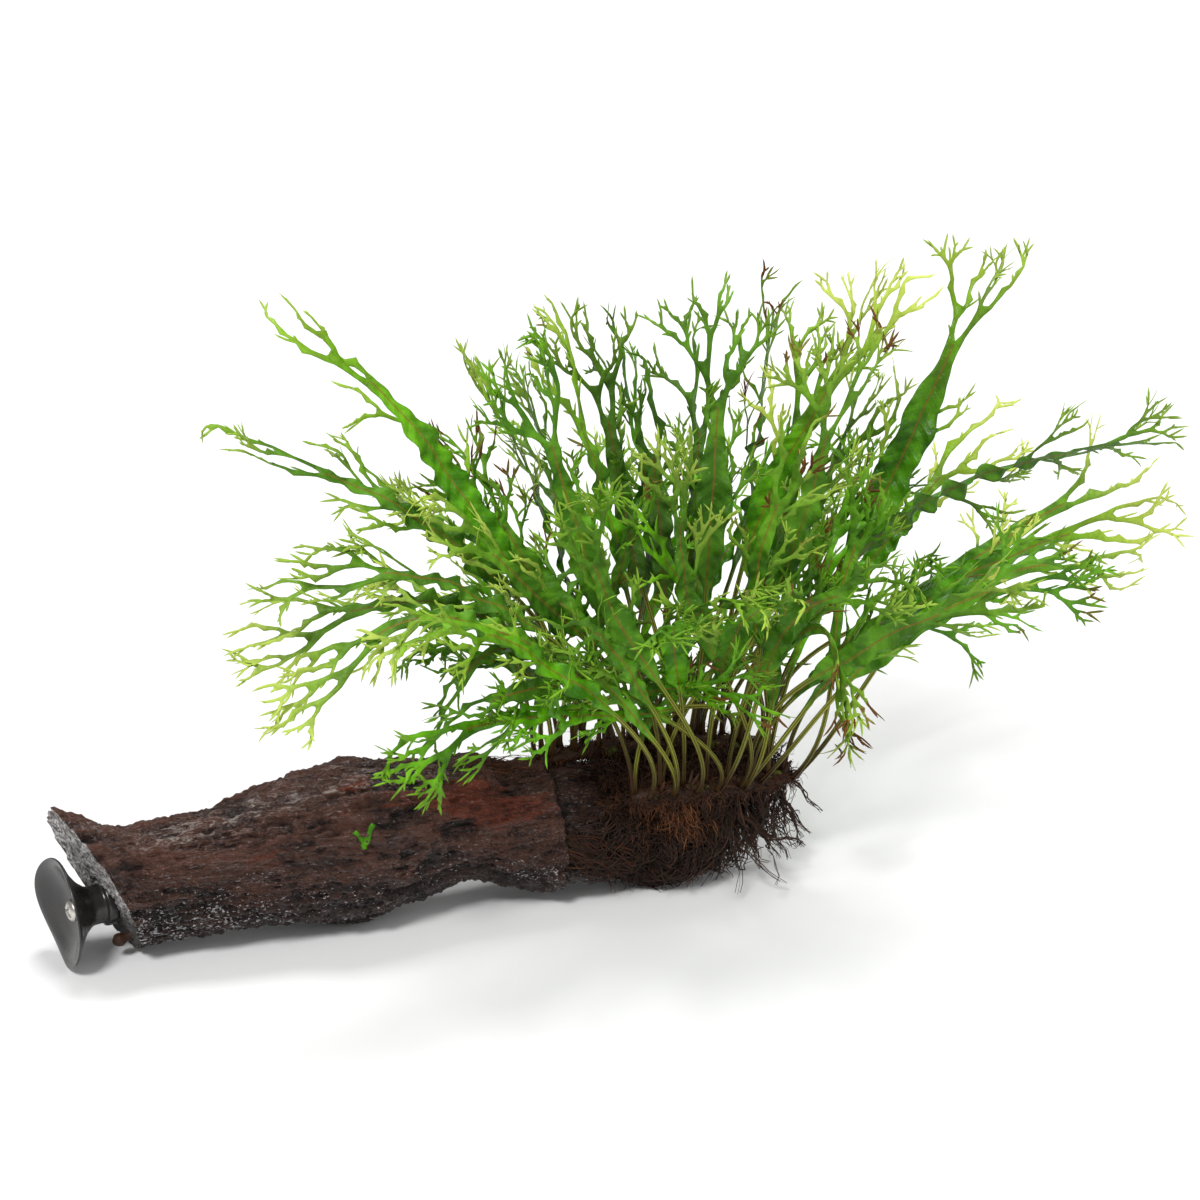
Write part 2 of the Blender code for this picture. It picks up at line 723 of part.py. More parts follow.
class Twig:
    """One ribbon of a crest, and the two that it forks into."""

    def __init__(self, frond, path, start, half, heading, face, main):
        level = len(path) - 1
        chance = random.Random(f"{frond.seed} {path}")
        factor = 1.0 if main else chance.uniform(0.45, 0.92)
        length = frond.reach * TWIG_SHARES[level] * factor
        bend = math.radians(chance.uniform(-16, 16)) / TWIG_STEPS
        curl = math.radians(chance.uniform(-20, 20)) / TWIG_STEPS
        twist = math.radians(chance.uniform(-26, 26)) / TWIG_STEPS
        pull = 0.16 if main else 0.03
        end_half = TWIG_HALVES[level] * chance.uniform(0.85, 1.15)
        self.level = level
        self.main = main
        self.stations = [(start, heading.cross(face).normalized(), half)]
        centre = start
        for i in range(1, TWIG_STEPS + 1):
            heading = heading.lerp((frond.tip - centre).normalized(), pull).normalized()
            side = heading.cross(face).normalized()
            heading = Matrix.Rotation(bend, 3, face) @ heading
            heading = Matrix.Rotation(curl, 3, side) @ heading
            face = side.cross(heading).normalized()
            face = Matrix.Rotation(twist, 3, heading) @ face
            side = heading.cross(face).normalized()
            centre = centre + heading * (length / TWIG_STEPS)
            share = i / TWIG_STEPS
            width = half + (end_half - half) * share
            width *= 1 - 0.22 * math.sin(math.pi * share)
            if i == TWIG_STEPS and level < len(TWIG_SHARES) - 1:
                width *= FORK_FLARE
            self.stations.append((centre, side, width))
        self.heading = heading
        self.face = face
        self.fork = centre + heading * self.stations[-1][2] * 0.55
        self.spread = math.radians(chance.uniform(19, 33))
        self.main_left = chance.random() < 0.5

    def children(self, frond, path, main_only):
        """The two ribbons after a fork: the left one starts on the left half of the end."""
        centre, side, half = self.stations[-1]
        made = []
        for sign in (1, -1):
            is_main = (sign > 0) == self.main_left
            if main_only and not is_main:
                continue
            edge = centre + side * half * sign
            start = (edge + self.fork) / 2
            angle = -self.spread * (0.65 if is_main else 1.15) * sign
            heading = Matrix.Rotation(angle, 3, self.face) @ self.heading
            name = path + ("m" if is_main else "s")
            twig = Twig(
                frond,
                name,
                start,
                (edge - self.fork).length / 2,
                heading.normalized(),
                self.face,
                self.main and is_main,
            )
            made.append((sign, name, twig))
        return made


def first_twigs(frond, centre, heading, side, face, half):
    """The blade's end forks into the crest's first two ribbons."""
    fork = centre + heading * half * 0.55
    twigs = []
    for sign, path in ((1, "l"), (-1, "r")):
        edge = centre + side * half * sign
        chance = random.Random(f"{frond.seed} {path} heading")
        angle = -math.radians(chance.uniform(10, 24)) * sign
        turned = Matrix.Rotation(angle, 3, face) @ heading
        main = (sign > 0) == (frond.seed % 2 == 0)
        twigs.append((sign, path, Twig(frond, path, (edge + fork) / 2, half / 2, turned, face, main)))
    return fork, twigs


def coarse_crest(sheet, frond, edge, path, twig):
    """Two levels of forks, and from there one ribbon that goes on to the tip."""
    row = sheet.row(*twig.stations[-1])
    sheet.strip(edge, row)
    if twig.level < 1:
        fork = sheet.web(row, twig.fork)
        for sign, name, child in twig.children(frond, path, False):
            half_edge = (row[0], fork) if sign > 0 else (fork, row[1])
            coarse_crest(sheet, frond, half_edge, name, child)
        return
    while twig.level < len(TWIG_SHARES) - 1:
        _, path, twig = twig.children(frond, path, True)[0]
    sheet.strip(row, sheet.row(*twig.stations[-1]))


def coarse_frond(frond, wider=0.0):
    """The frond's middle surface: stipe, blade, then its crest."""
    sheet = Sheet()
    blade = frond.blade_end - frond.stipe
    stops = [frond.stipe * i / STIPE_QUADS for i in range(STIPE_QUADS)]
    stops += [frond.stipe + blade * i / BLADE_QUADS for i in range(BLADE_QUADS + 1)]
    row = None
    for distance in stops:
        centre, heading, side, face = frond.frame(distance)
        half = frond.half_width(distance)
        new_row = sheet.row(centre, side, half + wider)
        if row:
            sheet.strip(row, new_row)
        row = new_row
    fork, twigs = first_twigs(frond, centre, heading, side, face, half)
    middle = sheet.web(row, fork)
    for sign, path, twig in twigs:
        half_edge = (row[0], middle) if sign > 0 else (middle, row[1])
        coarse_crest(sheet, frond, half_edge, path, twig)
    return sheet


def skin(sheet, half_thickness):
    """Both faces and the rim of a sheet, with the sheet's face that each one comes from."""
    normals = [Vector() for _ in sheet.points]
    edges = {}
    for face in sheet.faces:
        corners = [sheet.points[i] for i in face]
        normal = (corners[2] - corners[0]).cross(corners[-1] - corners[1]).normalized()
        for i in face:
            normals[i] += normal
        edges.update(((i, j), True) for i, j in zip(face, face[1:] + face[:1]))
    count = len(sheet.points)
    points = [p + n.normalized() * half_thickness for p, n in zip(sheet.points, normals)]
    points += [p - n.normalized() * half_thickness for p, n in zip(sheet.points, normals)]
    faces, source = [], []
    for number, face in enumerate(sheet.faces):
        faces += [face, tuple(i + count for i in reversed(face))]
        source += [number, number]
        for i, j in zip(face, face[1:] + face[:1]):
            if (j, i) not in edges:
                faces.append((j, i, i + count, j + count))
                source.append(number)
    return BVHTree.FromPolygons(points, faces), source


def crosses_itself(sheet, tree, source):
    for a, b in tree.overlap(tree):
        if not set(sheet.faces[source[a]]) & set(sheet.faces[source[b]]):
            return True
    return False


def near_capsule(point, capsules):
    for start, end, radius in capsules:
        along = end - start
        share = min(max((point - start).dot(along) / along.length_squared, 0.0), 1.0)
        if (point - start - along * share).length < radius:
            return True
    return False


def stem_capsules():
    """The rhizomes, and the wood in its roots, as round lengths that no frond passes through."""
    capsules = []
    for points in RHIZOMES.values():
        for a, b in zip(points, points[1:]):
            capsules.append((mm(a[:3]), mm(b[:3]), (max(a[3], b[3]) + 1.6) * MM))
    for a, b in zip(MAT_SECTIONS, MAT_SECTIONS[1:]):
        capsules.append((mm((a[0], 0, a[1])), mm((b[0], 0, b[1])), (max(a[2], b[2]) + 2.5) * MM))
    for a, b in zip(WOOD_SECTIONS, WOOD_SECTIONS[1:]):
        capsules.append((mm((a[0], 0, a[1])), mm((b[0], 0, b[1])), (max(a[2], b[2]) + 2.5) * MM))
    return capsules


def feet():
    """Where the stipes stand: two rows along each rhizome, with the way that each one rises."""
    places = []
    for name, points in RHIZOMES.items():
        lean = {"rhizome_top": 0.0, "rhizome_front": -0.75, "rhizome_back": 0.75}[name]
        outward = Vector((0.0, lean, 1.0)).normalized()
        walked = 0.5 * FOOT_STEP
        number = 0
        for a, b in zip(points, points[1:]):
            start, end = mm(a[:3]), mm(b[:3])
            length = (end - start).length
            along = (end - start) / length
            while walked < length:
                share = walked / length
                turn = FOOT_TURN if number % 2 else -FOOT_TURN
                normal = outward - along * outward.dot(along)
                normal = Matrix.Rotation(turn, 3, along) @ normal.normalized()
                radius = (a[3] + (b[3] - a[3]) * share) * MM
                foot = start + along * walked + normal * (radius + GAP)
                places.append((foot, (normal + 0.6 * UP).normalized()))
                walked += FOOT_STEP
                number += 1
            walked -= length
    return places


def nearest_feet(places, via):
    """The free places, nearest first to where a frond that leans this way would start."""
    wanted_x = CROWN.x + 0.42 * (via.x - CROWN.x)
    wanted_y = 0.45 * via.y
    return sorted(places, key=lambda p: abs(p[0].x - wanted_x) + 0.8 * abs(p[0].y - wanted_y))


def is_clear(frond, trees, capsules):
    """The frond's skin if it meets no other frond, no stem and no part of itself."""
    sheet = coarse_frond(frond, CLEARANCE)
    tree, source = skin(sheet, FROND_THICKNESS / 2 + CLEARANCE)
    if any(tree.overlap(other) for other in trees) or crosses_itself(sheet, tree, source):
        return None
    if any(near_capsule(point, capsules) for point in sheet.points[4:]):
        return None
    return tree


def place_frond(number, row, places, trees, capsules):
    """The frond leans aside a little more until it is clear, then tries the next place to stand."""
    via, tip, width, turn, twist = row
    for foot_number, (foot, rise) in enumerate(nearest_feet(places, mm(via))[:MOST_FEET]):
        for attempt in range(TRIES_A_FOOT):
            sway = SWAY * math.sqrt(attempt)
            angle = 2.4 * attempt
            aside = Vector((math.cos(angle), math.sin(angle), 0.6 * math.sin(1.7 * angle))) * sway
            frond = Frond(
                foot,
                rise,
                mm(via) + 0.7 * aside,
                mm(tip) + aside,
                width * MM * (1 - 0.2 * attempt / TRIES_A_FOOT),
                turn + ((attempt * 37) % 61 - 30 if attempt else 0),
                twist,
                1000 * number + 100 * foot_number + attempt,
            )
            tree = is_clear(frond, trees, capsules)
            if tree:
                trees.append(tree)
                places.remove((foot, rise))
                return frond
    return None


def place_fronds():
    places = feet()
    capsules = stem_capsules()
    trees = []
    rows = enumerate(SHOWN_FRONDS + FILL_FRONDS)
    fronds = [place_frond(number, row, places, trees, capsules) for number, row in rows]
    return [frond for frond in fronds if frond]


def flat_faces(sheet):
    """Each twisted quad as two triangles over its shorter diagonal, so that both sides fold alike."""
    faces = []
    for face in sheet.faces:
        if len(face) == 3:
            faces.append(face)
            continue
        a, b, c, d = face
        if (sheet.points[a] - sheet.points[c]).length < (sheet.points[b] - sheet.points[d]).length:
            faces += [(a, b, c), (a, c, d)]
        else:
            faces += [(a, b, d), (b, c, d)]
    return faces


def make_frond(name, frond, material, parts):
    sheet = coarse_frond(frond)
    mesh = bpy.data.meshes.new(name)
    mesh.from_pydata(sheet.points, [], flat_faces(sheet))
    mesh.materials.append(material)
    obj = bpy.data.objects.new(name, mesh)
    parts.objects.link(obj)
    solid = obj.modifiers.new("thickness", "SOLIDIFY")
    solid.thickness = FROND_THICKNESS
    solid.offset = 0.0
    return obj


def box_of(objects):
    """The lowest and highest corner of what the objects show."""
    bpy.context.view_layer.update()
    graph = bpy.context.evaluated_depsgraph_get()
    low, high = Vector((1.0, 1.0, 1.0)), Vector((-1.0, -1.0, -1.0))
    for obj in objects:
        shown = obj.evaluated_get(graph)
        mesh = shown.to_mesh()
        for vertex in mesh.vertices:
            place = shown.matrix_world @ vertex.co
            low = Vector(map(min, low, place))
            high = Vector(map(max, high, place))
        shown.to_mesh_clear()
    return low, high


def main():
    clear_scene()
    parts = new_collection("java_fern_on_driftwood")
    cutters = new_collection("cutters")
    materials = {name: new_material(name, *look) for name, look in MATERIALS.items()}
    hole = make_driftwood(materials["wet_wood"], parts, cutters)
    make_cup(materials["black_rubber"], parts, hole)
    make_screw(materials["steel"], parts, cutters)
    make_root_mat(materials["root_brown"], parts, cutters)
    make_hanging_roots(materials["root_brown"], parts)
    for name, points in RHIZOMES.items():
        make_rhizome(name, points, materials["stem_green"], parts)
    make_leaf_scrap(materials["leaf_green"], parts)
    for number, frond in enumerate(place_fronds(), start=1):
        make_frond(f"frond_{number:02d}", frond, materials["leaf_green"], parts)
    low, high = box_of(parts.objects)
    holder = bpy.data.objects.new("java_fern", None)
    parts.objects.link(holder)
    for obj in list(parts.objects) + list(cutters.objects):
        if obj != holder:
            obj.parent = holder
    holder.location = (-(low.x + high.x) / 2, -(low.y + high.y) / 2, -low.z)


main()
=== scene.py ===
"""The looks of a lace java fern grown on driftwood with a suction cup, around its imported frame.

Metres, +Z up. Shapes are worked out in the wood's own frame, where the floor is z = 0 and the belly rests
at x = 0, y = 0, as in the part's source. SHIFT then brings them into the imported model's frame.
"""

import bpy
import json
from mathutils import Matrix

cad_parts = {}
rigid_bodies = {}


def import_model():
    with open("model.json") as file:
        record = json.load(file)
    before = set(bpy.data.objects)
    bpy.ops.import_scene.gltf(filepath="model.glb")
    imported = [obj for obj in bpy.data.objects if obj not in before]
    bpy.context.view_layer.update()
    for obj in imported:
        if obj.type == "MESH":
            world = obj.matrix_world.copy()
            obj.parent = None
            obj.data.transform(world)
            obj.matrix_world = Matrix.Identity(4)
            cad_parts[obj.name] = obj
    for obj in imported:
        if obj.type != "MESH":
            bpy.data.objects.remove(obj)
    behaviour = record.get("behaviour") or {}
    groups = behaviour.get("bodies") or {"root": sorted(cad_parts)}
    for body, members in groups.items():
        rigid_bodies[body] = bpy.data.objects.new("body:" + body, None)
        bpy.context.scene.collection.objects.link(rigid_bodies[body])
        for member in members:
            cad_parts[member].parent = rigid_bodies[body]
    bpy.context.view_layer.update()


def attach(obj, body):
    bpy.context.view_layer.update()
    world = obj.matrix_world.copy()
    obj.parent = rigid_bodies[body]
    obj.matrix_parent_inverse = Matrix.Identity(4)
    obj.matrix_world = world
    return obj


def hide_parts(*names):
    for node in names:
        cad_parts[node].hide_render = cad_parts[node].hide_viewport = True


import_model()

import json
import math
import random

import bpy
from mathutils import Matrix, Vector, noise
from mathutils.bvhtree import BVHTree

MM = 0.001
UP = Vector((0.0, 0.0, 1.0))
GAP = 0.4 * MM

# Driftwood: along X, the height of its middle and its radius, all in mm
WOOD_SECTIONS = (
    (-130, 30.5, 25.5),
    (-110, 29.5, 25.0),
    (-96, 27.0, 23.2),
    (-80, 25.0, 20.2),
    (-50, 28.4, 21.7),
    (-20, 31.6, 25.6),
    (0, 31.4, 27.6),
    (20, 33.4, 24.4),
    (38, 34.6, 21.3),
    (58, 29.4, 22.2),
    (80, 26.8, 22.3),
    (92, 26.2, 20.4),
    (110, 26.0, 19.3),
    (122, 26.3, 17.2),
    (130, 27.0, 12.5),
    (133, 27.3, 7.0),
)
WOOD_DEPTH = 0.95
CUT_POINT = (-92.0, 0.0, 22.0)
CUT_NORMAL = (-1.0, -0.34, -0.38)
BELLY_AT = -5.0
BELLY_DROP = 6.8
BELLY_LENGTH = 13.0
BELLY_POWER = 12
BELLY_TURN = math.radians(15)
LEDGE_AT = 61.0
LEDGE_HEIGHT = 1.5
SETTLE = 1.6 * MM
WOOD_AROUND = 240
WOOD_ALONG = 360
CUT_RINGS = 24

# Patches of the bark: place along the wood and half length in mm, then angle and half width in radians
PALE_FLAKE = (61, 5, 0.62, 0.10)
# The red patches, each with its strength first
RED_PATCHES = ((1.0, 40, 24, 0.95, 0.42), (0.75, -34, 17, 1.08, 0.13), (0.5, -2, 30, 0.6, 0.35))

# Suction cup: its axis runs along X, and is then turned towards the front
CUP_AXIS = Vector((0.0, 2.5 * MM, 20.0 * MM))
CUP_TURN = math.radians(15)
CUP_RIM_X = -109.5 * MM
CUP_FLANGE_X = -90.5 * MM
CUP_PIVOT = Vector((CUP_FLANGE_X, CUP_AXIS.y, CUP_AXIS.z))
CUP_RADIUS = 20.0 * MM
CUP_FLANGE_RADIUS = 8.4 * MM
CUP_NECK_RADIUS = 7.0 * MM
CUP_DISH_DEPTH = 6.0 * MM
CUP_AROUND = 120
CUP_WARP = 1.3 * MM

# Screw through the cup
SCREW_HEAD_RADIUS = 4.0 * MM
SCREW_HEAD_HEIGHT = 2.6 * MM
SCREW_SHANK_RADIUS = 1.9 * MM
SCREW_LENGTH = 30.0 * MM
SCREW_AROUND = 72
RECESS_HALF = 0.62 * MM
RECESS_REACH = 2.4 * MM
RECESS_DEPTH = 1.4 * MM
RECESS_TURN = math.radians(20)

# Root mat: along X, the height of its middle and its radius, all in mm
MAT_SECTIONS = (
    (60, 27.4, 24.6),
    (84, 27.0, 24.2),
    (100, 24.8, 24.6),
    (118, 24.2, 24.4),
    (130, 25.2, 22.6),
    (136, 27.0, 17.0),
    (138.5, 28.0, 9.5),
)
HEM_TOP = 84.0
HEM_FRONT = 112.0
HEM_BOTTOM = 92.0
MAT_AROUND = 120
MAT_ALONG = 60

# How many roots there are of each kind, and how far along the wood some of them go, in mm
WINDING_ROOTS = 1150
RUST_ROOTS = 300
DARK_ROOTS = 420
BUNDLE_ROOTS = 64
LOOSE_ROOTS = 230
CROSSING_ROOTS = 620
STANDING_ROOTS = 1500
ROPES = 74
LOOPS = 64
CURLS = 190
TOP_ROOTS = 38
STEM_HAIRS = 820
STALK_STUBS = 9
CREEP_RADIUS = 25
CREEP_FROM = 70
CREEP_TO = 137.5
BED_END = 164
BACK_BED_END = 146

# How low the hanging roots reach, as places along the wood and heights in mm
ROOT_FLOOR = ((128, 0.6), (138, 2.5), (146, 6.0), (154, 10.0), (160, 13.5), (166, 19.0), (172, 26.0))

# Creeping stems: points in mm with the radius there
RHIZOMES = {
    "rhizome_top": (
        (65, 1, 53.6, 2.2),
        (74, 2, 53.1, 2.8),
        (87, 1, 54.8, 3.2),
        (101, -1, 53.5, 3.5),
        (116, 1, 52.8, 3.5),
        (131, 0, 51.6, 3.5),
        (145, -2, 50.0, 3.3),
        (158, -3, 47.0, 2.6),
    ),
    "rhizome_front": (
        (95, -20.5, 42.8, 2.5),
        (101, -22.4, 43.8, 3.2),
        (112, -22.6, 43.4, 3.5),
        (126, -21.6, 42.8, 3.5),
        (139, -19.0, 41.8, 3.4),
        (152, -15.0, 40.4, 3.2),
        (164, -10.0, 38.0, 2.5),
    ),
    "rhizome_back": (
        (94, 20.2, 43.0, 2.5),
        (101, 22.6, 43.6, 3.2),
        (117, 22.2, 43.4, 3.4),
        (132, 20.0, 42.8, 3.3),
        (146, 15.0, 41.4, 2.6),
    ),
}
FOOT_STEP = 4.5 * MM
FOOT_TURN = math.radians(30)

# Fronds
FROND_THICKNESS = 1.0 * MM
STIPE_HALF = 1.1 * MM
STIPE_SHARE = 0.37
CREST_SHARE = 0.25
CREST_LEAST = 27.0 * MM
CREST_MOST = 42.0 * MM
CREST_NECK = 2.9 * MM
TWIG_SHARES = (0.34, 0.27, 0.19, 0.12, 0.08)
TWIG_HALVES = (2.5 * MM, 1.8 * MM, 1.35 * MM, 1.0 * MM, 0.6 * MM)
TWIG_STEPS = 4
FORK_FLARE = 1.3
BLADE_QUADS = 4
STIPE_QUADS = 2
CLEARANCE = 0.35 * MM
TRIES_A_FOOT = 25
MOST_FEET = 6
LEAST_SLANT = 0.3
SWAY = 1.4 * MM
VIEWER = Vector((-0.29, -0.86, 0.42))
CROWN = Vector((118.0, 0.0, 45.0)) * MM

# Each frond: a point on its way, its tip, the blade's width, its turn and its twist in degrees
SHOWN_FRONDS = (
    ((31, -4, 174), (-22, 6, 228), 12, 10, 95),
    ((33, -14, 145), (-51, -24, 191), 9, 20, 120),
    ((33, -30, 133), (-39, -46, 148), 12, 20, 40),
    ((24, -44, 130), (-39, -66, 109), 12, 25, 35),
    ((35, -22, 124), (-46, -30, 121), 13, 30, 30),
    ((48, -26, 113), (17, -16, 73), 9, 40, 40),
    ((37, -58, 126), (-3, -76, 127), 11, 30, 30),
    ((60, 26, 112), (24, 40, 153), 13, 20, 30),
    ((58, -14, 128), (18, -22, 162), 12, 15, 50),
    ((63, 8, 125), (35, 20, 172), 13, 0, 40),
    ((83, 24, 122), (56, 44, 198), 14, 0, 30),
    ((79, -20, 137), (50, -34, 219), 13, 10, 40),
    ((93, -6, 138), (67, -4, 221), 14, 60, 30),
    ((109, 20, 128), (96, 36, 211), 15, 0, 20),
    ((118, 10, 123), (112, 16, 196), 16, 5, 20),
    ((129, -12, 142), (135, -8, 227), 16, 0, 15),
    ((152, 14, 133), (167, 26, 222), 14, 50, 40),
    ((168, 34, 115), (204, 60, 196), 15, 10, 20),
    ((158, -14, 126), (179, -24, 214), 14, 30, 30),
    ((153, -8, 148), (206, -16, 227), 15, 0, 60),
    ((198, 10, 124), (256, 18, 229), 17, 0, 15),
    ((211, 34, 101), (283, 60, 152), 14, 20, 20),
    ((206, -8, 137), (313, -14, 154), 14, 35, 50),
    ((211, -22, 108), (306, -34, 136), 14, 15, 20),
    ((233, 22, 94), (335, 40, 128), 12, 20, 30),
    ((227, 4, 95), (316, 8, 102), 13, 20, 15),
    ((192, -42, 104), (255, -64, 130), 15, 10, 20),
    ((175, -58, 109), (218, -92, 132), 14, 20, 20),
    ((160, -40, 112), (162, -62, 75), 9, 20, 40),
)
FILL_FRONDS = (
    ((115, 20, 130), (108, 44, 204), 16, 20, 30),
    ((136, 24, 128), (150, 50, 198), 15, -20, 30),
    ((95, 26, 122), (74, 56, 186), 14, 30, 30),
    ((100, 46, 110), (84, 96, 152), 14, 0, 25),
    ((122, 50, 106), (127, 104, 142), 15, 15, 25),
    ((146, 46, 105), (168, 98, 136), 14, -10, 30),
    ((76, 40, 105), (40, 80, 128), 13, 10, 30),
    ((172, 40, 100), (218, 82, 118), 14, 20, 20),
    ((62, 30, 96), (12, 56, 108), 12, 0, 30),
    ((176, 20, 122), (222, 40, 178), 13, 15, 20),
    ((104, -44, 112), (92, -84, 132), 14, 0, 20),
    ((126, -46, 114), (131, -90, 138), 15, 10, 20),
    ((80, -40, 112), (54, -78, 126), 13, 10, 20),
    ((150, -42, 114), (176, -84, 136), 14, -10, 20),
    ((86, -28, 120), (62, -54, 168), 14, 0, 30),
    ((112, -26, 128), (106, -46, 186), 15, 20, 20),
    ((141, -26, 128), (156, -48, 188), 15, -20, 20),
    ((60, -38, 98), (10, -56, 92), 12, 25, 30),
)

# Leaf scrap on the front of the wood: its arms as degrees and reach in mm
SCRAP_AT = -4.5
SCRAP_ANGLE = 68.0
SCRAP_THICKNESS = 0.8 * MM
SCRAP_ARMS = ((50, 7.6), (112, 5.6), (262, 1.8))

# The fronds' fine surface
BLADE_STEP = 1.7 * MM
STIPE_STEP = 4.0 * MM
COLUMNS = 8
LEAF_HALF = 0.17 * MM
RIB_HALF = 0.42 * MM
STIPE_DEEP = 0.75 * MM
STIPE_SLIM = 0.78
RIBBON_SLIM = (0.66, 0.62, 0.66, 0.74, 0.90)
SIDE_CHANCE = (1.0, 1.0, 0.80, 0.55, 0.60)
FINGER_CHANCE = 0.11
FORK_NARROW = (0.85, 0.72, 0.66, 0.70, 0.7)
SHOOT_ROOM = 4.0 * MM
SHOOT_HALF = 1.2 * MM
QUILT_STEP = 5.2 * MM
QUILT_DEPTH = 0.38 * MM
RIB_REACH = 0.55 * MM
NO_RIB = 1.2 * MM

# Ages of the fronds that look old: 0 is fresh and 1 is the darkest
OLD_FRONDS = {
    2: 0.25,
    6: 0.45,
    11: 0.7,
    14: 0.8,
    15: 0.9,
    17: 0.5,
    18: 0.65,
    21: 0.5,
    23: 0.5,
    30: 0.85,
    31: 0.8,
    32: 0.8,
    47: 0.4,
}
# How brown the tips of some fronds are
BROWN_FRONDS = {10: 0.6, 13: 0.4, 17: 0.7, 19: 0.6, 27: 0.4, 29: 0.8, 41: 0.5, 46: 0.4}
# What some fronds have of their own: how much the crest branches, how pale it is, how full the blade is
FROND_LOOKS = {
    1: {"bushy": 0.45, "yellow": 0.45, "slim": 1.0},
    2: {"bushy": 0.6, "yellow": 0.45, "slim": 0.95},
    3: {"bushy": 0.7, "yellow": 0.5},
    4: {"yellow": 0.8},
    5: {"yellow": 0.8},
    6: {"bushy": 0.1, "yellow": 0.1},
    9: {"yellow": 0.7},
    10: {"slim": 0.9},
    12: {"slim": 0.9},
    19: {"yellow": 0.5, "slim": 0.85},
    20: {"bushy": 0.7, "yellow": 1.0, "slim": 0.7},
    21: {"bushy": 0.8, "yellow": 0.6, "slim": 0.9},
    22: {"bushy": 0.6, "yellow": 1.0},
    24: {"bushy": 0.6, "yellow": 1.0, "slim": 0.55},
    25: {"bushy": 0.5, "yellow": 1.0},
    26: {"bushy": 0.6, "yellow": 0.9, "slim": 0.6},
    27: {"slim": 0.6},
    47: {"bushy": 0.05, "yellow": 0.1},
}
OLDEST_FRESH = 0.42
TURNED_SHARE = 0.38
BUSHY_CHOICES = (0.35, 0.6, 0.8, 1.0)
SPARSE = 0.2
DEAD_SHARES = (0.0, 0.0, 0.2, 0.7, 1.3)
YOUNG_FRONDS = 40
YOUNG_TRIES = 14
YOUNG_CROSSINGS = 14

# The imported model's origin, in the wood's own frame
SHIFT = -Vector((112.1030, 6.1365, 0.0)) * MM


def mm(point):
    return Vector(point) * MM


def between(rows, at):
    """The values of a table's rows at one place, on a smooth curve through them."""
    last = len(rows) - 1
    i = 0
    while i < last - 1 and rows[i + 1][0] < at:
        i += 1
    x0, x1 = rows[i][0], rows[i + 1][0]
    t = min(max((at - x0) / (x1 - x0), 0.0), 1.0)
    values = []
    for column in range(1, len(rows[0])):
        before, a, b, after = rows[max(i - 1, 0)], rows[i], rows[i + 1], rows[min(i + 2, last)]
        slope_a = (b[column] - before[column]) / (b[0] - before[0])
        slope_b = (after[column] - a[column]) / (after[0] - a[0])
        run = x1 - x0
        values.append(
            a[column] * (2 * t**3 - 3 * t**2 + 1)
            + slope_a * run * (t**3 - 2 * t**2 + t)
            + b[column] * (3 * t**2 - 2 * t**3)
            + slope_b * run * (t**3 - t**2)
        )
    return values


def smooth(value, low_end, high_end):
    """0 below the low end, 1 above the high end, and an S curve between."""
    t = min(max((value - low_end) / (high_end - low_end), 0.0), 1.0)
    return t * t * (3 - 2 * t)


def spoke(angle):
    """Straight out from the wood's middle: angle 0 is up and a quarter turn is the front."""
    return Vector((0.0, -math.sin(angle), math.cos(angle)))


def stray(chance, x, y, z):
    """A random step with the usual size that it has along each axis."""
    return Vector((chance.gauss(0, x), chance.gauss(0, y), chance.gauss(0, z)))


def side_faces(rows, around, first=0):
    """The faces between rings of points, where each ring has the same number of them."""
    faces = []
    for i in range(rows - 1):
        a = first + i * around
        for k in range(around):
            n = (k + 1) % around
            faces.append((a + k, a + n, a + around + n, a + around + k))
    return faces


def end_faces(rows, around, first=0):
    """The faces that close the first ring and the last one."""
    last = first + (rows - 1) * around
    return [tuple(reversed(range(first, first + around))), tuple(range(last, last + around))]


class Wire:
    """An output of a shader node. Sums and products of wires add Math nodes to the same material."""

    def __init__(self, finish, socket):
        self.finish = finish
        self.socket = socket

    def __getitem__(self, name):
        return Wire(self.finish, self.socket.node.outputs[name])

    def __add__(self, other):
        return self.finish.math("ADD", self, other)

    def __sub__(self, other):
        return self.finish.math("SUBTRACT", self, other)

    def __rsub__(self, other):
        return self.finish.math("SUBTRACT", other, self)

    def __mul__(self, other):
        return self.finish.math("MULTIPLY", self, other)

    def __abs__(self):
        return self.finish.math("ABSOLUTE", self, 0.0)

    __radd__ = __add__
    __rmul__ = __mul__


